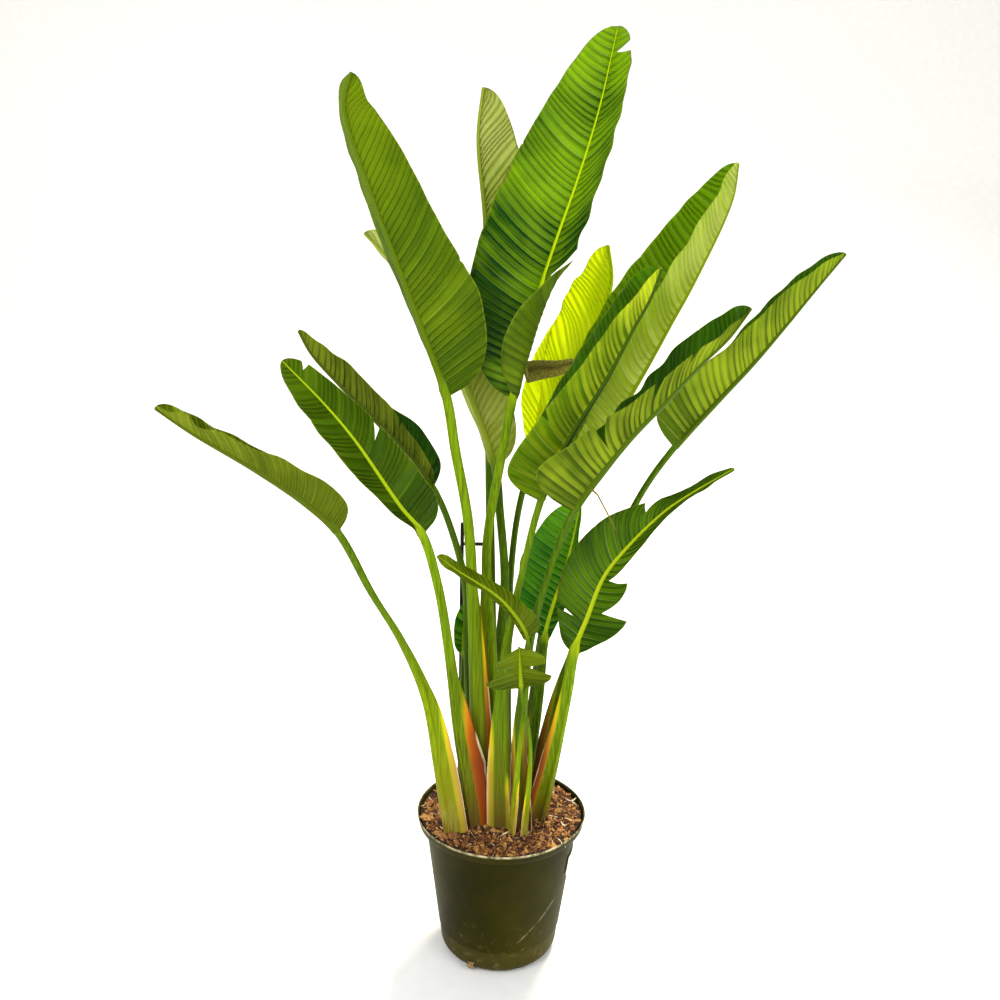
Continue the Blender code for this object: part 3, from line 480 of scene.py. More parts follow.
def stalk_ring(blade, place, wings):
    """Points round the stalk: round below, channelled above, with a wing beside the channel.

    A wing is the papery margin of the leaf's sheath: it stands out from the stalk's side,
    is widest low down and runs out to a point. The ring is measured for it: 0 on the
    stalk's back, 0.5 where the wing begins and 1 at its rim, and how dry it is.
    """
    leaf, spine = blade.leaf, blade.spine
    middle, _, across, out = spine.frame(place)
    share = np.clip((place - spine.soil) / (spine.base - spine.soil), 0, 1)
    narrow = 0.5 + 0.5 * math.cos(math.pi * min(1, share / SHEATH_END))
    wide = leaf.neck[0] + (leaf.foot[0] - leaf.neck[0]) * narrow
    thick = leaf.neck[1] + (leaf.foot[1] - leaf.neck[1]) * narrow
    turn = quarter(np.clip(1 - (spine.base - place) / SETTLE, 0, 1))
    right = np.concatenate([turn, -turn[::-1]])
    angles = np.concatenate([np.pi - turn[::-1], [np.pi / 2], right, [-np.pi / 2], turn - np.pi])
    sheath, dry = np.zeros(len(angles)), np.zeros(len(angles))
    above = np.clip(np.sin(angles) * 3, 0, 1)
    channel = GROOVE * above * np.exp(-(np.cos(angles) / 0.5) ** 4) * (1 - 0.5 * share ** 3)
    along, lift = np.cos(angles) * wide, np.sin(angles) * thick * (1 - channel)
    for side, top, size, lean in wings:
        left = 1 - share / top
        if left <= 0:
            continue
        middle_point = COLUMNS + side * WING_COLUMN
        near = np.abs(np.arange(len(angles)) - middle_point)
        band = np.exp(-(np.maximum(near - WING_POINTS, 0) / 2.0) ** 2)
        height = size * min(1, 1.7 * left) ** 0.8
        rise = np.interp(near, range(WING_POINTS + 1), (1, 0.75, 0.38, 0))
        gather = np.interp(near, range(WING_POINTS + 1), (1, 0.85, 0.55, 0))
        along = along + gather * (along[middle_point] - along)
        lift = lift + gather * (lift[middle_point] - lift)
        angle = math.radians(lean) * (1 - 0.35 * rise)
        along = along + side * height * rise * np.cos(angle)
        lift = lift + height * rise * np.sin(angle)
        reach = np.where(near <= WING_POINTS, 0.5 + 0.5 * rise, 0.5 * band)
        fade = np.clip(left * 2.4, 0, 1) ** 0.8
        sheath = np.maximum(sheath, reach * fade)
        dry = np.where(near < 8, left, dry)
    points = middle + along[:, None] * across + lift[:, None] * out
    return points, sheath, dry


def leaf_mesh(name, leaf, seed, wings, waves, sweep):
    """Closed skin of one leaf, with the measures that its finish is coloured by."""
    blade = Blade(leaf, np.random.default_rng(seed), waves, sweep)
    spine = blade.spine
    size = 4 * COLUMNS + 2
    none = np.zeros(size)
    stalk_rows = max(6, round((spine.base - FOOT_START) / STALK_STEP))
    rings = []
    for place in np.linspace(FOOT_START, spine.base - 0.001, stalk_rows):
        points, sheath, dry = stalk_ring(blade, place, wings)
        share = (place - spine.soil) / (spine.base - spine.soil)
        rings.append((points, none + share, none, none, sheath, dry))
    for u in blade.rows():
        points, outward, veins = blade.ring(u)
        rings.append((points, none + (1 + u), outward, veins, none, none))
    points, *measures = (np.concatenate(column) for column in zip(*rings))
    measures.append(np.tile(np.arange(size) >= size // 2, len(rings)).astype(float))
    points = np.vstack([points, spine.frame(FOOT_START)[0], spine.dense[-1]])
    faces, kinds = skin_faces(len(rings), size, stalk_rows)
    mesh = bpy.data.meshes.new(name)
    mesh.from_pydata(points.tolist(), [], faces)
    mesh.shade_smooth()
    for key, values in zip(("climb", "outward", "vein", "sheath", "dryness", "under"), measures):
        layer = mesh.attributes.new(key, "FLOAT", "POINT")
        layer.data.foreach_set("value", np.append(values, (0.0, values[-1])).astype(np.float32))
    mesh.polygons.foreach_set("material_index", kinds)
    return mesh


def skin_faces(count, size, stalk_rows):
    """Cells between the rings, and which are stalk and midrib (1) or blade (0)."""
    faces, kinds = [], []
    first, last = count * size, count * size + 1
    rib = {middle + k for middle in (COLUMNS, 3 * COLUMNS + 1)
           for k in range(-RIB_COLUMNS, RIB_COLUMNS)}
    for row in range(count - 1):
        for k in range(size):
            after = (k + 1) % size
            a, b = row * size + k, row * size + after
            faces.append((a, b, b + size, a + size))
            kinds.append(1 if row < stalk_rows or k in rib else 0)
    top = (count - 1) * size
    for k in range(size):
        after = (k + 1) % size
        faces.append((first, after, k))
        faces.append((last, top + k, top + after))
        kinds += [1, 0]
    return faces, kinds


# ---------------------------------------------------------------- materials


def srgb(code):
    """Linear colour of a hex sRGB code."""
    parts = [int(code[k:k + 2], 16) / 255 for k in (0, 2, 4)]
    return tuple(c / 12.92 if c <= 0.04045 else ((c + 0.055) / 1.055) ** 2.4 for c in parts) + (1,)


def add(tree, kind, inputs=None, stops=None, **settings):
    """A new node. An input is a value, a socket to link from, or a node whose result it takes."""
    made = tree.nodes.new(kind)
    for key, value in settings.items():
        setattr(made, key, value)
    for key, value in (inputs or {}).items():
        if isinstance(value, bpy.types.Node):
            value = next(socket for socket in value.outputs if socket.enabled)
        if isinstance(value, bpy.types.NodeSocket):
            tree.links.new(value, made.inputs[key])
        else:
            made.inputs[key].default_value = value
    for k, (place, code) in enumerate(stops or ()):
        band = made.color_ramp.elements
        stop = band[k] if k < len(band) else band.new(place)
        stop.position = place
        stop.color = srgb(code)
    return made


def new_material(name):
    """An empty node material, its nodes, and where each point of the piece lies."""
    made = bpy.data.materials.new(name)
    made.use_nodes = True
    tree = made.node_tree
    tree.nodes.clear()
    return made, tree, add(tree, "ShaderNodeTexCoord").outputs["Object"]


def leaf_blade(name, upper, under, glow, share, gloss, flank_shading):
    """Living leaf blade: waxy and deep green above, paler and duller below.

    Parallel side veins run out to the margin and pleat the blade: above, it bulges between them,
    and below they stand out as sharp ridges, each pleat painted lit on one flank and shaded on the
    other. Faint finer veins run between. Light that comes through is yellow-green, and the thin
    margin is pale, dried brown in places. The blade is painted darker towards its base, in the
    shade of the leaves round it.
    """
    made, tree, place = new_material(name)
    vein, outward, below, climb = [
        add(tree, "ShaderNodeAttribute", attribute_name=key).outputs["Fac"]
        for key in ("vein", "outward", "under", "climb")]
    cloud = add(tree, "ShaderNodeTexNoise", {"Vector": place, "Scale": 9.0, "Detail": 3.0})
    speck = add(tree, "ShaderNodeTexNoise", {"Vector": place, "Scale": 260.0, "Detail": 2.0})
    turn = add(tree, "ShaderNodeMath", {0: vein, 1: math.pi}, operation="MULTIPLY")
    swing = add(tree, "ShaderNodeMath", {0: turn}, operation="SINE")
    bulge = add(tree, "ShaderNodeMath", {0: swing}, operation="ABSOLUTE")

    # the pale line of each vein: each has its own strength, and fades towards the margin
    count = add(tree, "ShaderNodeMath", {0: vein}, operation="ROUND")
    lot = add(tree, "ShaderNodeTexWhiteNoise", {"W": count}, noise_dimensions="1D")
    line = add(tree, "ShaderNodeMapRange", {"Value": bulge, "From Min": 0.02, "From Max": 0.26,
                                            "To Min": 0.8, "To Max": 0.0})
    strong = add(tree, "ShaderNodeMapRange", {"Value": lot, "To Min": 0.45})
    fading = add(tree, "ShaderNodeMapRange", {"Value": outward, "From Min": 0.35,
                                              "From Max": 1.0, "To Min": 1.0, "To Max": 0.25})
    for part in (strong, fading):
        line = add(tree, "ShaderNodeMath", {0: line, 1: part}, operation="MULTIPLY")

    # how light the green is: in clouds and uneven from pleat to pleat; painted shade darkens it
    # towards the blade's base, and painted light and shade make one flank of each pleat lighter
    # than the other
    depth = add(tree, "ShaderNodeMapRange", {"Value": cloud, "From Min": 0.3, "From Max": 0.7})
    # painted shade: darker at the blade's base, down among the other leaves, and lighter towards
    # the tip
    rise = add(tree, "ShaderNodeMapRange", {"Value": climb, "From Min": 1.0, "From Max": 2.0,
                                            "To Min": -0.5, "To Max": 0.35})
    pleat = add(tree, "ShaderNodeMath", {0: vein}, operation="FLOOR")
    shade = add(tree, "ShaderNodeTexWhiteNoise", {"W": pleat}, noise_dimensions="1D")
    sway = add(tree, "ShaderNodeMapRange", {"Value": shade, "To Min": -0.2, "To Max": 0.2})
    for part in (rise, sway):
        depth = add(tree, "ShaderNodeMath", {0: depth, 1: part}, operation="ADD")
    # painted light and shade across each pleat: one flank lit, the other shaded, less so towards
    # the margin
    twice = add(tree, "ShaderNodeMath", {0: turn, 1: 2.0}, operation="MULTIPLY")
    slope = add(tree, "ShaderNodeMath", {0: twice}, operation="SINE")
    flank_shade_strength = add(tree, "ShaderNodeMapRange", {"Value": outward, "From Min": 0.1, "From Max": 1.0,
                                             "To Min": flank_shading, "To Max": 0.25 * flank_shading})
    slope = add(tree, "ShaderNodeMath", {0: slope, 1: flank_shade_strength}, operation="MULTIPLY")
    depth = add(tree, "ShaderNodeMath", {0: depth, 1: slope}, operation="ADD", use_clamp=True)
    sides = []
    for dark, light, ridge in (upper, under):
        skin = add(tree, "ShaderNodeMix", {"Factor": depth, 6: srgb(dark), 7: srgb(light)},
                   data_type="RGBA")
        sides.append(add(tree, "ShaderNodeMix", {"Factor": line, 6: skin, 7: srgb(ridge)},
                         data_type="RGBA"))
    skin = add(tree, "ShaderNodeMix", {"Factor": below, 6: sides[0], 7: sides[1]},
               data_type="RGBA")

    # a pale margin, dry in places
    edge = add(tree, "ShaderNodeMapRange", {"Value": outward, "From Min": 0.972,
                                            "From Max": 0.995, "To Max": 0.55})
    rim = add(tree, "ShaderNodeMapRange", {"Value": outward, "From Min": 0.94, "From Max": 1.0,
                                           "To Max": 0.9})
    worn = add(tree, "ShaderNodeMapRange", {"Value": cloud, "From Min": 0.56, "From Max": 0.66})
    dry = add(tree, "ShaderNodeMath", {0: rim, 1: worn}, operation="MULTIPLY")
    for cover, code in ((edge, "A4B830"), (dry, "8A6A30")):
        skin = add(tree, "ShaderNodeMix", {"Factor": cover, 6: skin, 7: srgb(code)},
                   data_type="RGBA")

    # relief: the pleats, which bulge the other way below, and the finer veins between
    dull = add(tree, "ShaderNodeMapRange", {"Value": below, "To Min": 0.34, "To Max": 0.58})
    facing = add(tree, "ShaderNodeMapRange", {"Value": below, "To Min": 1.0, "To Max": -1.0})
    relief = add(tree, "ShaderNodeMath", {0: bulge, 1: facing}, operation="MULTIPLY")
    ribbed = add(tree, "ShaderNodeBump", {"Height": relief, "Strength": 1.0, "Distance": 0.0030})
    close = add(tree, "ShaderNodeMath", {0: vein, 1: 7.0}, operation="MULTIPLY")
    fine = add(tree, "ShaderNodeMath", {0: close, 1: 0.5}, operation="PINGPONG")
    grain = add(tree, "ShaderNodeMath", {0: fine, 1: speck}, operation="ADD")
    bump = add(tree, "ShaderNodeBump", {"Height": grain, "Strength": 0.35, "Distance": 0.0005,
                                        "Normal": ribbed})
    wax = add(tree, "ShaderNodeBsdfPrincipled", {"Base Color": skin, "Roughness": dull,
                                                 "IOR": 1.42, "Specular IOR Level": gloss,
                                                 "Normal": bump})
    lit = add(tree, "ShaderNodeMix", {"Factor": line, 6: srgb(glow), 7: skin}, data_type="RGBA")
    through = add(tree, "ShaderNodeBsdfTranslucent", {"Color": lit, "Normal": bump})
    both = add(tree, "ShaderNodeMixShader", {"Fac": share, 1: wax, 2: through})
    add(tree, "ShaderNodeOutputMaterial", {"Surface": both})
    return made


def leaf_stalk(name, green, young, old, rib):
    """Fleshy stalk and midrib: smooth, streaked lengthways, with papery sheath margins.

    It is pale and yellow at the soil, green above, and as a midrib it is pale above and
    like the blade below. The sheath's margin is yellow and orange where it is young, and
    dries to red-brown with a cream rim towards the soil.
    """
    made, tree, place = new_material(name)
    climb, sheath, age, below = [
        add(tree, "ShaderNodeAttribute", attribute_name=key).outputs["Fac"]
        for key in ("climb", "sheath", "dryness", "under")]
    grain = add(tree, "ShaderNodeMapping", {"Vector": place, "Scale": (420.0, 420.0, 11.0)})
    streak = add(tree, "ShaderNodeTexNoise", {"Vector": grain, "Scale": 1.0, "Detail": 3.0})
    cloud = add(tree, "ShaderNodeTexNoise", {"Vector": place, "Scale": 18.0, "Detail": 2.0})

    # the flesh, dark in streaks and stained brown in streaks near the soil
    sway = add(tree, "ShaderNodeMapRange", {"Value": streak, "To Min": -0.16, "To Max": 0.16})
    level = add(tree, "ShaderNodeMath", {0: climb, 1: sway}, operation="ADD")
    flesh = add(tree, "ShaderNodeValToRGB", {"Fac": level},
                stops=zip((0.0, 0.10, 0.38, 0.8), green))
    dark = add(tree, "ShaderNodeMapRange", {"Value": streak, "From Min": 0.3, "From Max": 0.7,
                                            "To Min": 0.5, "To Max": 1.1})
    flesh = add(tree, "ShaderNodeMix", {"Factor": 1.0, 6: flesh, 7: dark}, data_type="RGBA",
                blend_type="MULTIPLY")
    low = add(tree, "ShaderNodeMapRange", {"Value": climb, "From Min": 0.0, "From Max": 0.3,
                                           "To Min": 0.75, "To Max": 0.0})
    patch = add(tree, "ShaderNodeMapRange", {"Value": streak, "From Min": 0.42,
                                             "From Max": 0.62})
    stained = add(tree, "ShaderNodeMath", {0: low, 1: patch}, operation="MULTIPLY")
    flesh = add(tree, "ShaderNodeMix", {"Factor": stained, 6: flesh, 7: srgb("6C4818")},
                data_type="RGBA")

    # from the blade's base on it is the midrib: pale above, and below painted darker than the
    # blade for the shade along its keel
    keel = add(tree, "ShaderNodeMix", {"Factor": below, 6: srgb(rib[0]), 7: srgb(rib[1])},
               data_type="RGBA")
    leafy = add(tree, "ShaderNodeMapRange", {"Value": climb, "From Min": 0.97,
                                             "From Max": 1.08})
    flesh = add(tree, "ShaderNodeMix", {"Factor": leafy, 6: flesh, 7: keel}, data_type="RGBA")

    # the sheath's margin, from the flesh to the rim, young above and old below
    torn = add(tree, "ShaderNodeMapRange", {"Value": cloud, "To Min": -0.12, "To Max": 0.12})
    across = add(tree, "ShaderNodeMath", {0: sheath, 1: torn}, operation="ADD")
    margins = [add(tree, "ShaderNodeValToRGB", {"Fac": across}, stops=zip(SHEATH_BANDS, codes))
               for codes in (young, old)]
    stage = add(tree, "ShaderNodeMapRange", {"Value": age, "From Min": 0.25, "From Max": 0.6})
    paper = add(tree, "ShaderNodeMix", {"Factor": stage, 6: margins[0], 7: margins[1]},
                data_type="RGBA")
    cover = add(tree, "ShaderNodeMapRange", {"Value": across, "From Min": 0.2, "From Max": 0.5})
    skin = add(tree, "ShaderNodeMix", {"Factor": cover, 6: flesh, 7: paper}, data_type="RGBA")
    bump = add(tree, "ShaderNodeBump", {"Height": streak, "Strength": 0.35, "Distance": 0.0006})
    wax = add(tree, "ShaderNodeBsdfPrincipled", {"Base Color": skin, "Roughness": 0.42,
                                                 "IOR": 1.42, "Specular IOR Level": 0.1,
                                                 "Normal": bump})
    add(tree, "ShaderNodeOutputMaterial", {"Surface": wax})
    return made


def recycled_polypropylene():
    """Thin moulded nursery-pot plastic: olive black, dulled by handling.

    The rim's edge is pale, partly scuffed and partly a painted highlight that is strongest at the
    front, dried mud clings low on the wall, and one long scratch runs down the front.
    """
    made, tree, place = new_material("recycled_polypropylene")
    _, depth, height = add(tree, "ShaderNodeSeparateXYZ", {0: place}).outputs
    cloud = add(tree, "ShaderNodeTexNoise", {"Vector": place, "Scale": 7.0, "Detail": 4.0})
    mud = add(tree, "ShaderNodeTexNoise", {"Vector": place, "Scale": 70.0, "Detail": 7.0,
                                           "Roughness": 0.7})
    skin = add(tree, "ShaderNodeValToRGB", {"Fac": cloud},
               stops=((0.3, "1C1C00"), (0.7, "363200")))

    # spots of mud low on the wall, and a film of it below the step
    spots = add(tree, "ShaderNodeMapRange", {"Value": mud, "From Min": 0.55, "From Max": 0.72,
                                             "To Max": 0.6})
    low = add(tree, "ShaderNodeMapRange", {"Value": height, "From Min": 0.02, "From Max": 0.11,
                                           "To Min": 1.0, "To Max": 0.0})
    film = add(tree, "ShaderNodeMapRange", {"Value": height, "From Min": 0.041,
                                            "From Max": 0.046, "To Min": 0.6, "To Max": 0.0})

    # the scratch: a thin, broken line across the front, with a wobble, between two heights
    slant = add(tree, "ShaderNodeVectorMath", {0: place, 1: SCRATCH_ACROSS},
                operation="DOT_PRODUCT")
    aside = add(tree, "ShaderNodeMath", {0: slant, 1: SCRATCH_SIDE}, operation="SUBTRACT")
    wobble = add(tree, "ShaderNodeMapRange", {"Value": cloud, "To Min": -0.012,
                                              "To Max": 0.012})
    aside = add(tree, "ShaderNodeMath", {0: aside, 1: wobble}, operation="ADD")
    aside = add(tree, "ShaderNodeMath", {0: aside}, operation="ABSOLUTE")
    thin = add(tree, "ShaderNodeMapRange", {"Value": aside, "From Min": 0.0003,
                                            "From Max": 0.0016, "To Min": 0.6, "To Max": 0.0})
    front = add(tree, "ShaderNodeMapRange", {"Value": depth, "From Min": -0.02,
                                             "From Max": -0.04})
    broken = add(tree, "ShaderNodeMapRange", {"Value": mud, "From Min": 0.38, "From Max": 0.5})
    begun = add(tree, "ShaderNodeMapRange", {"Value": height, "From Min": 0.062,
                                             "From Max": 0.072})
    ended = add(tree, "ShaderNodeMapRange", {"Value": height, "From Min": 0.118,
                                             "From Max": 0.128, "To Min": 1.0, "To Max": 0.0})

    # the rim's edge: pale from scuffs, with a painted highlight on it that is strongest at the
    # front
    edge = add(tree, "ShaderNodeMapRange", {"Value": height, "From Min": POT_HEIGHT - 0.0045,
                                            "From Max": POT_HEIGHT - 0.0012})
    scuff_and_highlight = add(tree, "ShaderNodeMapRange", {"Value": mud, "From Min": 0.42, "From Max": 0.56,
                                              "To Min": 0.15})
    highlight_toward_front = add(tree, "ShaderNodeMapRange", {"Value": depth, "From Min": -0.02,
                                              "From Max": -0.09, "To Min": 0.3})
    # mud, its film, the scratch, and the rim's scuffs with their painted highlight, each mixed
    # over the plastic
    wear_and_rim_highlight = (((spots, low), "857550"), ((film, mud), "5A5228"),
            ((thin, front, broken, begun, ended), "98926C"), ((edge, scuff_and_highlight, highlight_toward_front), "C4B890"))
    for (cover, *parts), code in wear_and_rim_highlight:
        for part in parts:
            cover = add(tree, "ShaderNodeMath", {0: cover, 1: part}, operation="MULTIPLY")
        skin = add(tree, "ShaderNodeMix", {"Factor": cover, 6: skin, 7: srgb(code)},
                   data_type="RGBA")
    rough = add(tree, "ShaderNodeMapRange", {"Value": mud, "To Min": 0.36, "To Max": 0.62})
    bump = add(tree, "ShaderNodeBump", {"Height": mud, "Strength": 0.2, "Distance": 0.0008})
    plastic = add(tree, "ShaderNodeBsdfPrincipled", {"Base Color": skin, "Roughness": rough,
                                                     "IOR": 1.49, "Specular IOR Level": 0.05,
                                                     "Normal": bump})
    add(tree, "ShaderNodeOutputMaterial", {"Surface": plastic})
    return made


def crumbs(name, stops, roughness):
    """Rough natural crumbs whose colour follows the seeded tone of each one."""
    made, tree, place = new_material(name)
    tone = add(tree, "ShaderNodeAttribute", attribute_name="tone").outputs["Fac"]
    grit = add(tree, "ShaderNodeTexNoise", {"Vector": place, "Scale": 420.0, "Detail": 3.0})
    blend = add(tree, "ShaderNodeMapRange", {"Value": grit, "From Min": 0.3, "From Max": 0.7,
                                             "To Min": -0.25, "To Max": 0.25})
    level = add(tree, "ShaderNodeMath", {0: tone, 1: blend}, operation="ADD", use_clamp=True)
    skin = add(tree, "ShaderNodeValToRGB", {"Fac": level}, stops=stops)
    bump = add(tree, "ShaderNodeBump", {"Height": grit, "Strength": 0.8, "Distance": 0.001})
    body = add(tree, "ShaderNodeBsdfPrincipled", {"Base Color": skin, "Roughness": roughness,
                                                  "Normal": bump})
    add(tree, "ShaderNodeOutputMaterial", {"Surface": body})
    return made


def black_plastic():
    """Extruded black plant-support plastic, slightly dusty."""
    made, tree, place = new_material("black_support_plastic")
    dust = add(tree, "ShaderNodeTexNoise", {"Vector": place, "Scale": 90.0, "Detail": 4.0})
    skin = add(tree, "ShaderNodeValToRGB", {"Fac": dust},
               stops=((0.35, "080808"), (0.8, "1C1A16")))
    body = add(tree, "ShaderNodeBsdfPrincipled", {"Base Color": skin, "Roughness": 0.5,
                                                  "IOR": 1.5, "Specular IOR Level": 0.2})
    add(tree, "ShaderNodeOutputMaterial", {"Surface": body})
    return made


def label_paper():
    """Blank vinyl label: white, a little yellowed and creased."""
    made, tree, place = new_material("label_vinyl")
    crease = add(tree, "ShaderNodeTexNoise", {"Vector": place, "Scale": 120.0, "Detail": 3.0})
    skin = add(tree, "ShaderNodeValToRGB", {"Fac": crease},
               stops=((0.3, "DCD8CC"), (0.6, "F4F2EA")))
    bump = add(tree, "ShaderNodeBump", {"Height": crease, "Strength": 0.3, "Distance": 0.0005})
    body = add(tree, "ShaderNodeBsdfPrincipled", {"Base Color": skin, "Roughness": 0.45,
                                                  "Normal": bump})
    add(tree, "ShaderNodeOutputMaterial", {"Surface": body})
    return made


def studio_paper():
    """Matt white backdrop paper."""
    made, tree, place = new_material("backdrop_paper")
    fibre = add(tree, "ShaderNodeTexNoise", {"Vector": place, "Scale": 40.0, "Detail": 2.0})
    skin = add(tree, "ShaderNodeValToRGB", {"Fac": fibre},
               stops=((0.3, "F6F6F4"), (0.7, "FAFAF8")))
    body = add(tree, "ShaderNodeBsdfPrincipled", {"Base Color": skin, "Roughness": 0.9})
    add(tree, "ShaderNodeOutputMaterial", {"Surface": body})
    return made


# ---------------------------------------------------------------- leaves

# Each skin: upper side and underside, each as dark, light and vein; the light that comes through
# and its share; how glossy it is; how strongly each pleat is painted lit on one flank and shaded
# on the other; and the midrib above and below, painted darker below for the shade along its keel.
# The skins are lit and shaded copies of one leaf green, each tinted to the light and shade that
# fall on the leaves that wear it.
SKINS = {
    "tall": (("2A5802", "487402", "8CAA20"), ("466402", "789402", "A8C02C"), "90AC00", 0.3,
             0.12, 0.28, ("A8C028", "566E00")),
    "pale": (("2A5802", "4A7808", "8CA838"), ("9CA83C", "CCD474", "94A044"), "C4D050", 0.34,
             0.12, 0.2, ("B8C840", "8C9C28")),
    "rich": (("063402", "90BC02", "C0D870"), ("4E6C02", "84A202", "A0B42C"), "88BC00", 0.3,
             0.22, 0.25, ("C4DC08", "7C9808")),
    # painted glow: the bright skin's underside is near white-yellow, as though lit through from
    # behind
    "bright": (("163C02", "2C6202", "6E9410"), ("E4FC00", "FAFF30", "DCF000"), "F4FF00", 0.64,
               0.12, 0.1, ("B0C808", "B4CC00")),
    "silver": (("163E02", "346802", "5E8410"), ("94B00C", "D0E060", "DCE890"), "B8D400", 0.4,
               0.12, 0.35, ("7C9810", "748C00")),
    "lime": (("16400A", "2E6202", "5E8410"), ("5A7C02", "DCF028", "DCEC68"), "B4D400", 0.35,
             0.12, 0.42, ("6C8C08", "3C5600")),
    "striped": (("16400A", "2E6202", "5E8410"), ("4A6202", "A4BC1C", "BCCC58"), "98B400", 0.3,
                0.14, 0.4, ("6C8C08", "465E00")),
    "murky": (("16400A", "2E6202", "5E8410"), ("344802", "7C8C18", "A0B050"), "7C9400", 0.2,
              0.1, 0.45, ("6C8C08", "465400")),
    "dark": (("1C6402", "66B008", "D0E48C"), ("34520A", "50700A", "90A848"), "58940A", 0.25,
             0.2, 0.35, ("B4CC18", "5C7804")),
    "mixed": (("2A4E02", "5C8406", "A0B45C"), ("3C5402", "5C7404", "84982A"), "6C9400", 0.25,
              0.12, 0.45, ("A8B814", "5C7000")),
    "shadow": (("304C02", "547406", "5C7C0C"), ("3E5602", "5C7604", "84982A"), "4C7400", 0.12,
               0.1, 0.08, ("A4BC10", "4A6002")),
    "olive": (("4A5E02", "6E8408", "8C9C20"), ("5C6E0C", "8A9A20", "8C9C30"), "708400", 0.2,
              0.1, 0.06, ("8CA410", "4E6000")),
}
# painted light and shade: which lit, shaded or backlit copy of the leaf green each leaf wears
LEAF_SKIN = {
    "leaf_tall_left": "tall", "leaf_back_narrow": "pale", "leaf_tallest": "rich",
    "leaf_behind_tall": "pale", "leaf_bright": "bright", "leaf_right_large": "silver",
    "leaf_right_lobed": "lime", "leaf_right_torn": "striped", "leaf_far_right": "striped",
    "leaf_low_right": "mixed", "leaf_low_middle": "dark", "leaf_small_folded": "olive",
    "leaf_small_crescent": "olive", "leaf_far_left": "olive", "leaf_left_open": "shadow",
    "leaf_left_back": "murky", "leaf_young": "dark",
}
# Each stalk: its colours from the soil to the blade, and its sheath's margin where it is
# young and where it is old, from the flesh to the rim
STALKS = {
    "tall": (("807430", "748008", "6E8804", "7A9A08"),
             ("98AC08", "D0C810", "E4B414", "CC7C14", "FFF2C0"),
             ("808808", "A87C1C", "98501A", "743410", "FFF2C0")),
    "ruddy": (("6C5C2C", "646C08", "688004", "789A08"),
              ("98A408", "C49410", "BC680C", "90400C", "FFF2C0"),
              ("747408", "945814", "843A0C", "682808", "FFF2C0")),
    "creamy": (("786C30", "6C7C08", "648204", "6C8C08"),
               ("8CA008", "ACB410", "D0C014", "E0C038", "FFF2C0"),
               ("787C08", "888414", "A08824", "C09C4C", "FFF2C0")),
    "middle": (("706434", "606C04", "4E6C02", "4C6C02"),
               ("80980A", "A8A810", "A88820", "8C581C", "E0D098"),
               ("68700C", "806C18", "704418", "543014", "E0D0A8")),
    "lime": (("B4AC48", "8C9808", "86A002", "587602"),
             ("ACBC08", "CCD010", "E8C818", "DCA020", "FFF2C0"),
             ("90940C", "A09C18", "B09830", "A88440", "FFF2C0")),
}
LEAF_STALK = {
    "leaf_tall_left": "tall", "leaf_tallest": "ruddy", "leaf_right_lobed": "creamy",
    "leaf_small_folded": "lime", "leaf_small_crescent": "lime", "leaf_far_left": "lime",
    "leaf_low_right": "tall", "leaf_left_open": "ruddy",
}
# Sheath margins of a leaf: side of the stalk, how far up, width, and angle from flat
PLAIN_WINGS = ((-1, 0.30, 0.004, 50), (1, 0.30, 0.004, 50))
WINGS = {
    "leaf_tall_left": ((-1, 0.56, 0.011, 15),),
    "leaf_tallest": ((-1, 0.58, 0.020, 10), (1, 0.34, 0.005, 45)),
    "leaf_right_lobed": ((-1, 0.40, 0.007, 25), (1, 0.20, 0.003, 60)),
    "leaf_right_torn": ((-1, 0.40, 0.006, 30), (1, 0.42, 0.008, 30)),
    "leaf_low_right": ((-1, 0.92, 0.007, 25),),
    "leaf_far_left": ((1, 0.46, 0.0075, 20),),
    "leaf_left_open": ((1, 0.52, 0.020, 8),),
    "leaf_far_right": ((-1, 0.40, 0.010, 20), (1, 0.24, 0.004, 50)),
    "leaf_small_folded": ((1, 0.34, 0.003, 40),),
    "leaf_small_crescent": ((-1, 0.30, 0.0025, 50),),
}
# How far the margin waves up and down
PLAIN_WAVES = 0.0014
WAVES = {"leaf_far_left": 0.0045, "leaf_left_back": 0.0035, "leaf_right_torn": 0.003,
         "leaf_tallest": 0.0022, "leaf_right_large": 0.0022}
# How far the side veins lean towards the tip
PLAIN_SWEEP = 0.02
SWEEPS = {"leaf_back_narrow": 0.085, "leaf_bright": 0.08, "leaf_behind_tall": 0.06,
          "leaf_tall_left": 0.045, "leaf_tallest": 0.0, "leaf_right_large": 0.0}


def put(name, data):
    """A new object in the scene."""
    thing = bpy.data.objects.new(name, data)
    bpy.context.scene.collection.objects.link(thing)
    return thing


def place_piece(name, mesh, surfaces, slot, *nodes):
    """Puts a finished mesh in the scene, parented to the root body, and hides the CAD nodes it
    stands for.
    """
    for surface in surfaces:
        mesh.materials.append(surface)
    piece = put(name, mesh)
    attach(piece, "root")
    if nodes:
        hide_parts(*nodes)


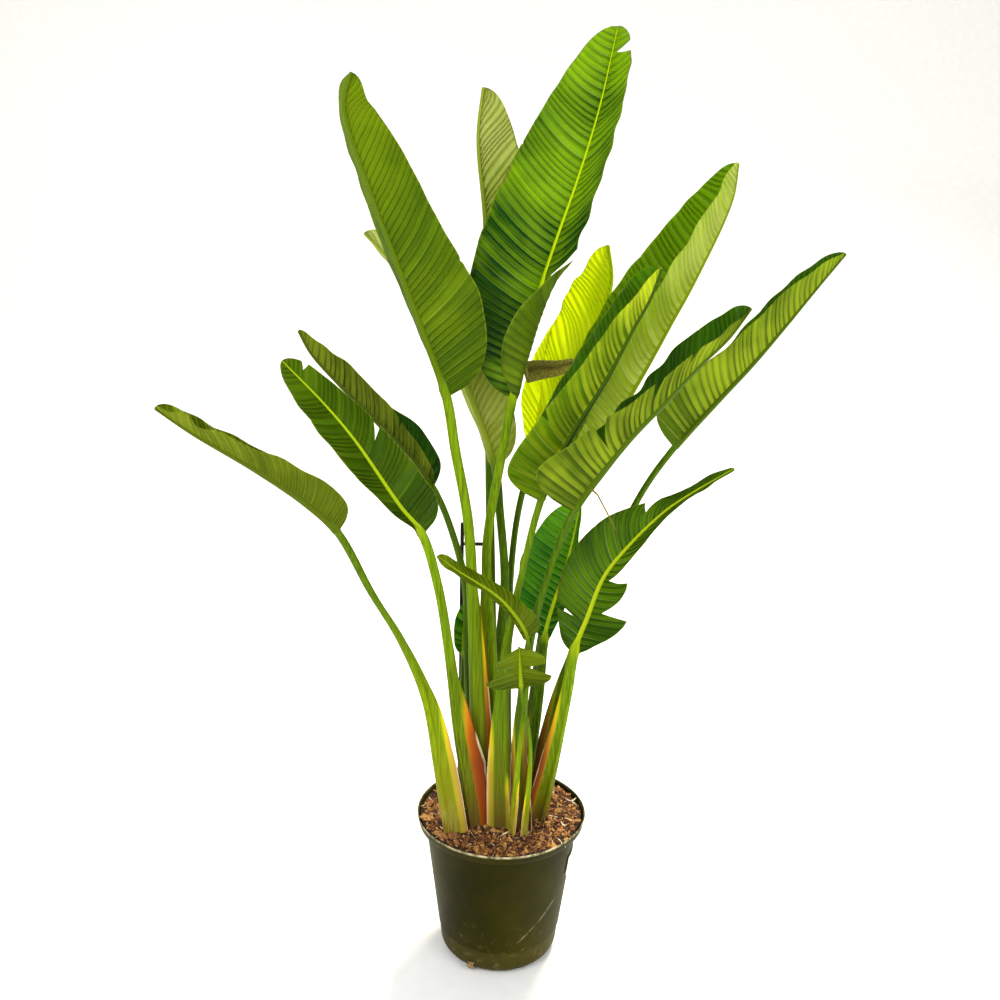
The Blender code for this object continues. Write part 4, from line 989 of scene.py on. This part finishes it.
def make_leaves():
    """Every leaf, its blade in its own skin, tinted to the light and shade that fall on it, and
    its stalk in its own colours.
    """
    blades = {key: leaf_blade("leaf_blade_" + key, *skin[:6]) for key, skin in SKINS.items()}
    stalks = {}
    for seed, (name, leaf) in enumerate(LEAVES.items()):
        skin, green = LEAF_SKIN[name], LEAF_STALK.get(name, "middle")
        if (green, skin) not in stalks:
            finish = leaf_stalk(f"leaf_stalk_{green}_{skin}", *STALKS[green], SKINS[skin][6])
            stalks[green, skin] = finish
        mesh = leaf_mesh(name + "_fine", leaf, seed, WINGS.get(name, PLAIN_WINGS),
                         WAVES.get(name, PLAIN_WAVES), SWEEPS.get(name, PLAIN_SWEEP))
        surfaces = (blades[skin], stalks[green, skin])
        place_piece(name + "_fine", mesh, surfaces, "leaf", name)


# ---------------------------------------------------------------- pot

POT_HEIGHT = 0.240
RIM_RADIUS = 0.135
RIM_BAND = 0.015
RIM_DROP = 0.003
TOP_RADIUS = 0.1212
BASE_RADIUS = 0.0955
CORNER = 0.022
WALL = 0.002
RIM_FLARE = 0.005
STEP_HEIGHT = 0.045
STEP_RADIUS = 0.0980
STEP_OUT = 0.0010
FLOOR_RING = 0.04               # radius of a ring of points in its floor
HOLE_COUNT = 8
HOLE_RADIUS = 0.006
HOLE_SLOPE = 45                 # degrees that a drain hole runs down from level
POT_SIDES = 160
BUCKLE = 0.0006                 # how far the thin wall is out of round
SCRATCH_ACROSS = (0.74, 0.0, -0.67)   # direction across the long scratch in the wall
SCRATCH_SIDE = -0.0172          # how far along that direction the scratch lies
DRAIN_ROOT = 243.0              # where a root comes out of a drain hole, in degrees
LABEL = (-23, 30, 0.150, 0.184)     # degrees round the wall, and heights, of a blank label
LABEL_PROUD = (0.0013, 0.0009)  # how far its face and its back stand out from the wall


def turned(outline, sides):
    """Solid of revolution about Z; outline runs from the axis below to the axis above."""
    angles = 2 * np.pi * np.arange(sides) / sides
    points = [(0, 0, outline[0][1])]
    for radius, height in outline[1:-1]:
        points += [(radius * math.cos(a), radius * math.sin(a), height) for a in angles]
    points.append((0, 0, outline[-1][1]))
    faces = []
    rings = len(outline) - 2
    for k in range(sides):
        after = (k + 1) % sides
        faces.append((0, 1 + after, 1 + k))
        for ring in range(rings - 1):
            low, high = 1 + ring * sides, 1 + (ring + 1) * sides
            faces.append((low + k, low + after, high + after, high + k))
        top = 1 + (rings - 1) * sides
        faces.append((top + k, top + after, len(points) - 1))
    return points, faces


def arc(middle, radius, start, stop, count):
    """Points on an arc about middle, in degrees."""
    angles = np.radians(np.linspace(start, stop, count))
    return [(middle[0] + radius * math.cos(a), middle[1] + radius * math.sin(a)) for a in angles]


def pot_side(inset):
    """The pot's side from the floor to the rim band, moved inwards by inset."""
    line = arc((BASE_RADIUS - CORNER, CORNER), CORNER - inset, -90, 0, 12)
    ledge = POT_HEIGHT - RIM_BAND + inset / 2
    line.append((STEP_RADIUS - inset, STEP_HEIGHT))
    line.append((STEP_RADIUS + STEP_OUT - inset, STEP_HEIGHT + STEP_OUT + inset / 4))
    for share in np.linspace(0.1, 1, 10):
        radius = STEP_RADIUS + STEP_OUT + (TOP_RADIUS - STEP_RADIUS - STEP_OUT) * share
        height = STEP_HEIGHT + (ledge - RIM_FLARE - STEP_HEIGHT) * share
        line.append((radius - inset, height))
    line.append((RIM_RADIUS - RIM_DROP - 0.0016 - inset, ledge - 0.0008))
    line.append((RIM_RADIUS - RIM_DROP - inset, ledge + 0.0008))
    return line


def tube(path, radii, sides):
    """Closed round skin along a path, with its ends domed."""
    path = np.array(path, dtype=float)
    along = unit(np.gradient(path, axis=0))
    aside = unit(np.cross(along, (0.13, 0.97, 0.21)))
    other = np.cross(along, aside)
    angles = 2 * np.pi * np.arange(sides) / sides
    points, faces = [], []
    for p, a, b, r in zip(path, aside, other, radii):
        points += [tuple(p + r * (math.cos(t) * a + math.sin(t) * b)) for t in angles]
    count = len(path)
    for row in range(count - 1):
        for k in range(sides):
            a, b = row * sides + k, row * sides + (k + 1) % sides
            faces.append((a, b, b + sides, a + sides))
    faces.append(tuple(range(sides))[::-1])
    faces.append(tuple((count - 1) * sides + k for k in range(sides)))
    return points, faces


def join(parts):
    """Several (points, faces) pairs as one."""
    points, faces = [], []
    for more, cells in parts:
        shift = len(points)
        points += more
        faces += [tuple(v + shift for v in cell) for cell in cells]
    return points, faces


def plain_mesh(name, points, faces, angle=40):
    """A mesh that is smooth except across edges sharper than angle, in degrees."""
    mesh = bpy.data.meshes.new(name)
    mesh.from_pydata(points, [], faces)
    mesh.validate()
    mesh.shade_smooth()
    mesh.set_sharp_from_angle(angle=math.radians(angle))
    return mesh


def baked(thing, name):
    """The bare mesh that an object's modifiers give; the object is removed."""
    bpy.context.view_layer.update()
    view = bpy.context.evaluated_depsgraph_get()
    mesh = bpy.data.meshes.new_from_object(thing.evaluated_get(view))
    mesh.name = name
    mesh.materials.clear()
    bpy.data.objects.remove(thing, do_unlink=True)
    return mesh


def make_pot():
    """Thin-walled pot with a rounded lip, a banded rim and drain holes round its foot."""
    lip = arc((RIM_RADIUS - WALL / 2, POT_HEIGHT - WALL / 2), WALL / 2, 0, 180, 7)
    outline = [(0, 0), (FLOOR_RING, 0)] + pot_side(0) + lip + pot_side(WALL)[::-1]
    points, faces = turned(outline + [(FLOOR_RING, WALL), (0, WALL)], POT_SIDES)
    shaped = []
    for x, y, z in points:
        turn = math.atan2(y, x) / (2 * math.pi) % 1
        swing = math.sin(2 * math.pi * 3 * turn + 1) + math.sin(2 * math.pi * 5 * turn + 2)
        size = 1 + BUCKLE / 0.13 * 0.5 * swing * min(z / 0.1, 1)
        shaped.append((x * size, y * size, z))
    pot = put("pot_blank", plain_mesh("pot_blank", shaped, faces, 35))
    pins = []
    slope = math.radians(HOLE_SLOPE)
    middle = BASE_RADIUS - CORNER
    for k in range(HOLE_COUNT):
        turn = 2 * math.pi * (k + 0.5) / HOLE_COUNT
        ends = []
        for reach in (CORNER - 3 * WALL, CORNER + 2 * WALL):
            radius = middle + reach * math.cos(slope)
            height = CORNER - reach * math.sin(slope)
            ends.append((radius * math.cos(turn), radius * math.sin(turn), height))
        pins.append(tube(ends, (HOLE_RADIUS, HOLE_RADIUS), 24))
    cutter = put("pot_pins", plain_mesh("pot_pins", *join(pins)))
    cut = pot.modifiers.new("holes", "BOOLEAN")
    cut.operation = "DIFFERENCE"
    cut.object = cutter
    mesh = baked(pot, "pot_fine")
    bpy.data.objects.remove(cutter, do_unlink=True)
    place_piece("pot_fine", mesh, (recycled_polypropylene(),), "pot_plastic", "pot")


def make_stray_root():
    """Dried root that has grown out of a drain hole and curled up."""
    turn = math.radians(DRAIN_ROOT)
    out = Vector((math.cos(turn), math.sin(turn), 0))
    aside = Vector((-math.sin(turn), math.cos(turn), 0))
    bend = ((0.085, 0.006), (0.092, 0.006), (0.0975, 0.010), (0.0990, 0.015), (0.0965, 0.018),
            (0.0955, 0.015))
    parts = []
    for shift, size in ((-0.0035, 0.0020), (0.0005, 0.0026), (0.004, 0.0016)):
        path = [out * (reach - 0.3 * abs(shift)) + aside * (shift * (0.4 + 0.2 * k))
                + Vector((0, 0, rise + 0.2 * shift)) for k, (reach, rise) in enumerate(bend)]
        radii = [size * share for share in (0.8, 1.0, 1.1, 1.0, 0.8, 0.4)]
        parts.append(tube([tuple(p) for p in path], radii, 10))
    place_bits("drain_root_fine", join(parts), 0.35, "soil",
               crumbs("curled_root", ((0.0, "5C4420"), (0.5, "A88C58"), (1.0, "E0CCA0")), 0.7))


def place_bits(name, shape, tone, slot, surface):
    """Small dried bits, with one tone or a tone for each point."""
    mesh = plain_mesh(name, *shape)
    layer = mesh.attributes.new("tone", "FLOAT", "POINT")
    tones = np.broadcast_to(tone, len(mesh.vertices)).astype(np.float32)
    layer.data.foreach_set("value", tones)
    place_piece(name, mesh, (surface,), slot)


# A torn strip across the front of leaf_bright: the ends of its upper edge, and how thin it
# is for its depth
STRIP_ENDS = ((0.0240, 0.0800, 0.9520), (0.0965, 0.0960, 0.9560))
STRIP_THICK = 0.06
STRIP_SIDES = 16


def make_shreds():
    """A thread dried off at the base of the torn leaf, and a strip across the bright one."""
    spine = Spine(LEAVES["leaf_right_torn"])
    start = spine.frame(spine.base + 0.035)[0]
    drop = ((0.0, 0.0, 0.0), (0.006, -0.004, 0.002), (0.014, -0.006, -0.005),
            (0.028, -0.008, -0.030), (0.042, -0.008, -0.056))
    path = [tuple(start + np.array(step)) for step in drop]
    radii = (0.0022, 0.0018, 0.0012, 0.0011, 0.0006)
    dried = crumbs("dried_leaf", ((0.0, "342C04"), (0.5, "7C7008"), (1.0, "C8C060")), 0.7)
    place_bits("dried_thread_fine", tube(path, radii, 8), 0.35, "leaf", dried)
    shares = np.linspace(0, 1, 15)
    left, right = np.array(STRIP_ENDS)
    line = left + (right - left) * shares[:, None]
    deep = 0.0170 - 0.0085 * shares ** 1.4
    line[:, 2] += 0.0012 * np.sin(shares * 7) - deep
    points, faces = tube(line, deep, STRIP_SIDES)
    points = np.array(points)
    middle = np.repeat(line, STRIP_SIDES, axis=0)
    points[:, 1] = middle[:, 1] + STRIP_THICK * (points[:, 1] - middle[:, 1])
    high = (points[:, 2] - middle[:, 2]) / np.repeat(deep, STRIP_SIDES)
    # the strip is lighter along its top edge and darker in a band above its middle
    tone = 0.55 + 0.4 * (high > 0.88) - 0.35 * (np.abs(high - 0.25) < 0.2)
    place_bits("torn_strip_fine", (points.tolist(), faces), tone, "leaf", dried)


def make_label():
    """Blank label stuck round the right of the wall."""
    start, stop, low, high = LABEL
    points, faces = [], []
    turns, levels = np.radians(np.linspace(start, stop, 13)), np.linspace(low, high, 5)
    slope = (TOP_RADIUS - STEP_RADIUS) / (POT_HEIGHT - RIM_BAND - RIM_FLARE - STEP_HEIGHT)
    for proud in LABEL_PROUD:
        for z in levels:
            radius = STEP_RADIUS + STEP_OUT + slope * (z - STEP_HEIGHT) + proud
            points += [(radius * math.cos(a), radius * math.sin(a), z) for a in turns]
    wide, count = len(turns), len(turns) * len(levels)
    for row in range(len(levels) - 1):
        for k in range(wide - 1):
            a = row * wide + k
            faces.append((a, a + 1, a + 1 + wide, a + wide))
            faces.append((a + count + wide, a + count + wide + 1, a + count + 1, a + count))
    rim = list(range(wide)) + [row * wide + wide - 1 for row in range(1, len(levels))]
    rim += [count - 1 - k for k in range(1, wide)]
    rim += [row * wide for row in range(len(levels) - 2, 0, -1)]
    for a, b in zip(rim, rim[1:] + rim[:1]):
        faces.append((b, a, a + count, b + count))
    place_piece("blank_label_fine", plain_mesh("blank_label_fine", points, faces, 50),
                (label_paper(),), "pot_plastic")


# ---------------------------------------------------------------- soil

SOIL_EDGE = 0.229
SOIL_CROWN = 0.008
SOIL_HEAP = 0.005               # how far the loose chips are pushed up against the rim
SOIL_RINGS = 34
SOIL_SIDES = 110
# The soil's side, up the inside of the pot: radius and height
SOIL_SIDE = ((0, 0.004), (0.07, 0.004), (0.09, 0.012), (0.094, 0.024), (0.1165, 0.214))
# Unevenness of its top: how quickly it swings, in radians a metre, and how high
SOIL_SWINGS = ((60, 1.6 * MM), (130, 1.0 * MM), (300, 0.7 * MM), (600, 0.4 * MM))
PEAT = ((0.0, "140704"), (0.5, "2C1408"), (1.0, "4A2A12"))
BARK = ((0.0, "1A0A02"), (0.42, "4C260C"), (0.8, "7C481A"), (1.0, "BC8C48"))
DRY_ROOT = ((0.0, "A07840"), (0.5, "D8B888"), (1.0, "F4E6C4"))
# What is strewn on the soil: how many on a square metre, their usual length, how far they
# tilt, and the seed
STREWN = ("Count per square metre", "Length", "Tilt", "Seed")
CHIPS = (80000.0, 0.0068, 0.9, 5)
FLAKES = (1800.0, 0.014, 0.45, 21)
ROOT_BITS = (2600.0, 0.016, 0.35, 9)
SHAPES = 6                      # different chips, and different bits of root
FULL_TURN = 6.283


def chip_mesh(rng, name):
    """An angular flake of bark: a flattened block with its corners knocked about."""
    points, faces = [], []
    size = np.array((0.5, rng.uniform(0.08, 0.30), rng.uniform(0.05, 0.12)))
    corners = [(x, y, z) for z in (-1, 1) for y in (-1, 1) for x in (-1, 0, 1)]
    for x, y, z in corners:
        shrink = 0.72 if x else 1.0
        knock = rng.uniform(-0.22, 0.22, 3)
        points.append(tuple(size * (np.array((x, y * shrink, z * shrink)) + knock)))
    for x in (0, 1):
        faces += [(x, x + 3, x + 4, x + 1), (x + 6, x + 7, x + 10, x + 9)]
        faces += [(x, x + 1, x + 7, x + 6), (x + 3, x + 9, x + 10, x + 4)]
    faces += [(0, 6, 9, 3), (2, 5, 11, 8)]
    mesh = bpy.data.meshes.new(name)
    mesh.from_pydata(points, [], faces)
    return mesh


def root_mesh(rng, name):
    """A dried, crooked bit of root."""
    path = np.array([(x, 0, 0) for x in np.linspace(-0.5, 0.5, 6)])
    path[:, 1:] += np.cumsum(rng.uniform(-0.05, 0.05, (6, 2)), axis=0)
    points, faces = tube(path, rng.uniform(0.03, 0.05) * np.array((0.5, 1, 1, 0.9, 0.8, 0.4)), 5)
    return plain_mesh(name, points, faces)


def scatter_tree(name):
    """Strews the shapes of a collection over a surface, each turned, sized and toned at random."""
    tree = bpy.data.node_groups.new(name, "GeometryNodeTree")
    face = tree.interface
    face.new_socket("Geometry", in_out="INPUT", socket_type="NodeSocketGeometry")
    kinds = ("Float", "Float", "Float", "Int", "Collection", "Material")
    for key, kind in zip(STREWN + ("Shapes", "Material"), kinds):
        face.new_socket(key, in_out="INPUT", socket_type="NodeSocket" + kind)
    face.new_socket("Geometry", in_out="OUTPUT", socket_type="NodeSocketGeometry")
    given = add(tree, "NodeGroupInput").outputs
    spots = add(tree, "GeometryNodeDistributePointsOnFaces",
                {"Mesh": given["Geometry"], "Density": given["Count per square metre"],
                 "Seed": given["Seed"]})
    shapes = add(tree, "GeometryNodeCollectionInfo",
                 {"Collection": given["Shapes"], "Separate Children": True,
                  "Reset Children": True})
    small = add(tree, "ShaderNodeMath", {0: given["Length"], 1: 0.45}, operation="MULTIPLY")
    large = add(tree, "ShaderNodeMath", {0: given["Length"], 1: 1.7}, operation="MULTIPLY")
    size = add(tree, "FunctionNodeRandomValue", {2: small, 3: large, "Seed": given["Seed"]})
    less = add(tree, "ShaderNodeMath", {0: given["Tilt"], 1: -1.0}, operation="MULTIPLY")
    low = add(tree, "ShaderNodeCombineXYZ", {0: less, 1: less, 2: 0.0})
    high = add(tree, "ShaderNodeCombineXYZ", {0: given["Tilt"], 1: given["Tilt"],
                                              2: FULL_TURN})
    turn = add(tree, "FunctionNodeRandomValue", {0: low, 1: high, "Seed": given["Seed"]},
               data_type="FLOAT_VECTOR")
    strewn = add(tree, "GeometryNodeInstanceOnPoints",
                 {"Points": spots, "Instance": shapes, "Pick Instance": True,
                  "Rotation": turn, "Scale": size})
    tone = add(tree, "FunctionNodeRandomValue", {2: 0.0, 3: 1.0, "Seed": given["Seed"]})
    toned = add(tree, "GeometryNodeStoreNamedAttribute",
                {"Geometry": strewn, "Name": "tone", "Value": tone},
                data_type="FLOAT", domain="INSTANCE")
    real = add(tree, "GeometryNodeRealizeInstances", {"Geometry": toned})
    dressed = add(tree, "GeometryNodeSetMaterial", {"Geometry": real,
                                                    "Material": given["Material"]})
    add(tree, "NodeGroupOutput", {0: dressed})
    return tree


def strew(name, ground, tree, shapes, surface, values):
    """One mesh of everything that the tree strews over ground."""
    blank = put(name + "_blank", ground.copy())
    modifier = blank.modifiers.new("strew", "NODES")
    modifier.node_group = tree
    sockets = {s.name: s.identifier for s in tree.interface.items_tree if s.in_out == "INPUT"}
    for key, value in {**values, "Shapes": shapes, "Material": surface}.items():
        modifier[sockets[key]] = value
    return baked(blank, name)


def soil_height(x, y, waves):
    """Height of the soil's top: crowned, heaped up against the rim, and uneven."""
    radius = math.hypot(x, y) / RIM_RADIUS
    bumps = sum(size * math.sin(fx * x + fy * y + shift) for fx, fy, shift, size in waves)
    heap = SOIL_HEAP * max(0.0, radius - 0.6) / 0.4
    return SOIL_EDGE + SOIL_CROWN * math.cos(min(radius, 1) * math.pi / 2) + heap + bumps


def make_soil():
    """Peat body, bark chips over it, and pale bits of root and stick among them."""
    rng = np.random.default_rng(11)
    waves = []
    for rate, size in SOIL_SWINGS:
        for _ in range(3):
            turn, shift = rng.uniform(0, 2 * math.pi, 2)
            waves.append((rate * math.cos(turn), rate * math.sin(turn), shift, size / 1.7))
    rim = RIM_RADIUS - RIM_DROP - 1.6 * WALL
    inwards = [(rim * (1 - k / SOIL_RINGS), SOIL_EDGE) for k in range(SOIL_RINGS)]
    points, faces = turned([*SOIL_SIDE, *inwards, (0, SOIL_EDGE)], SOIL_SIDES)
    points = [(x, y, soil_height(x, y, waves) if z > SOIL_EDGE - 0.005 else z)
              for x, y, z in points]
    ground = plain_mesh("soil_fine", points, faces, 60)
    tone = ground.attributes.new("tone", "FLOAT", "POINT")
    tone.data.foreach_set("value", rng.uniform(0, 0.45, len(points)).astype(np.float32))
    place_piece("soil_fine", ground, (crumbs("peat", PEAT, 0.95),), "soil", "soil")
    bark, fibre = crumbs("bark_chips", BARK, 0.85), crumbs("dry_root", DRY_ROOT, 0.7)
    top = [f for f in faces if all(points[v][2] > SOIL_EDGE - 0.008 for v in f)
           and math.hypot(*points[f[0]][:2]) < rim - 0.003]
    used = sorted({v for f in top for v in f})
    index = {v: k for k, v in enumerate(used)}
    strewn = bpy.data.meshes.new("soil_top")
    strewn.from_pydata([points[v] for v in used], [], [tuple(index[v] for v in f) for f in top])
    tree = scatter_tree("strewn_bits")
    chips, roots = (bpy.data.collections.new(key) for key in ("chips", "roots"))
    for k in range(SHAPES):
        for shapes, make, key in ((chips, chip_mesh, "chip_"), (roots, root_mesh, "root_")):
            shapes.objects.link(bpy.data.objects.new(f"{key}{k}", make(rng, f"{key}{k}")))
    for name, shapes, surface, values in (
            ("bark_chips_fine", chips, bark, CHIPS), ("bark_flakes_fine", chips, bark, FLAKES),
            ("root_bits_fine", roots, fibre, ROOT_BITS)):
        mesh = strew(name, strewn, tree, shapes, surface, dict(zip(STREWN, values)))
        place_piece(name, mesh, (surface,), "soil")
    for shapes in (chips, roots):
        for thing in list(shapes.objects):
            bpy.data.objects.remove(thing, do_unlink=True)
        bpy.data.collections.remove(shapes)


# ---------------------------------------------------------------- support

ROD_RADIUS = 0.003
STAKES = ((-0.070, 0.058, 0.702), (-0.031, 0.058, 0.680))
BAR_HEIGHT = 0.667


def make_support():
    """Black stakes with a cross bar: round rods, pointed at the top."""
    rods = []
    for x, y, top in STAKES:
        path = [(x, y, FOOT_DEPTH), (x, y, top - 0.004), (x, y, top - 0.001), (x, y, top)]
        rods.append(tube(path, (ROD_RADIUS, ROD_RADIUS, ROD_RADIUS * 0.8, ROD_RADIUS * 0.3), 20))
    (left, y, _), (right, _, _) = STAKES
    bar = [(x, y, BAR_HEIGHT) for x in (left, (left + right) / 2, right)]
    rods.append(tube(bar, (ROD_RADIUS * 0.96,) * 3, 20))
    place_piece("support_fine", plain_mesh("support_fine", *join(rods)), (black_plastic(),),
                "support_plastic", "support_frame")


# ---------------------------------------------------------------- studio

SURROUND = 0.6                  # strength of the light from all round


def make_floor():
    """A wide sheet of pale paper that sweeps up behind the plant."""
    wide, near, back, high, bend = 9.0, -4.0, 3.2, 6.0, 1.6
    line = [(near, 0.0), (0.0, 0.0)]
    line += [(back - bend + bend * math.sin(a), bend - bend * math.cos(a))
             for a in np.linspace(0, math.pi / 2, 16)]
    line.append((back, high))
    points = [(side * wide, y, z) for y, z in line for side in (-1, 1)]
    faces = [(2 * k, 2 * k + 1, 2 * k + 3, 2 * k + 2) for k in range(len(line) - 1)]
    mesh = plain_mesh("floor", points, faces, 60)
    mesh.materials.append(studio_paper())
    put("floor", mesh)


def add_light(name, place, target, size, power, colour):
    """A square softbox that looks at target."""
    lamp = bpy.data.lights.new(name, "AREA")
    lamp.shape = "SQUARE"
    lamp.size = size
    lamp.energy = power
    lamp.color = srgb(colour)[:3]
    thing = put(name, lamp)
    thing.location = place
    thing.rotation_euler = (Vector(target) - Vector(place)).to_track_quat("-Z", "Y").to_euler()


def make_studio():
    """Paper, softboxes and an even white surround."""
    make_floor()
    add_light("back_right_softbox", (0.7, 1.4, 2.9), (0.1, 0, 0.8), 1.0, 150, "FFF8E0")
    add_light("front_left_softbox", (-1.6, -2.2, 2.4), (0, 0, 0.8), 1.6, 55, "FFFFFF")
    add_light("front_right_fill", (1.9, -1.8, 1.6), (0, 0, 0.8), 1.6, 36, "FFFFFF")
    world = bpy.data.worlds.new("studio")
    bpy.context.scene.world = world
    world.use_nodes = True
    ground = world.node_tree.nodes["Background"]
    ground.inputs["Color"].default_value = srgb("FFFFFF")
    ground.inputs["Strength"].default_value = SURROUND
    bpy.context.scene.view_settings.view_transform = "Standard"


CAMERA_PLACE = (-0.012, -1.447, 1.115)
CAMERA_DOWN = 14.03             # degrees that it looks down
CAMERA_ROLL = 1.2
LENS = 36                       # focal length and sensor width, in millimetres


def make_camera():
    """A camera in front of the plant that looks a little down on it."""
    lens = bpy.data.cameras.new("camera")
    lens.lens = lens.sensor_width = LENS
    camera = put("camera", lens)
    tilt, roll = math.radians(90 - CAMERA_DOWN), math.radians(CAMERA_ROLL)
    turn = Matrix.Rotation(tilt, 4, "X") @ Matrix.Rotation(roll, 4, "Z")
    camera.matrix_world = Matrix.Translation(CAMERA_PLACE) @ turn
    bpy.context.scene.camera = camera


make_leaves()
make_pot()
make_stray_root()
make_shreds()
make_label()
make_soil()
make_support()
make_studio()
make_camera()
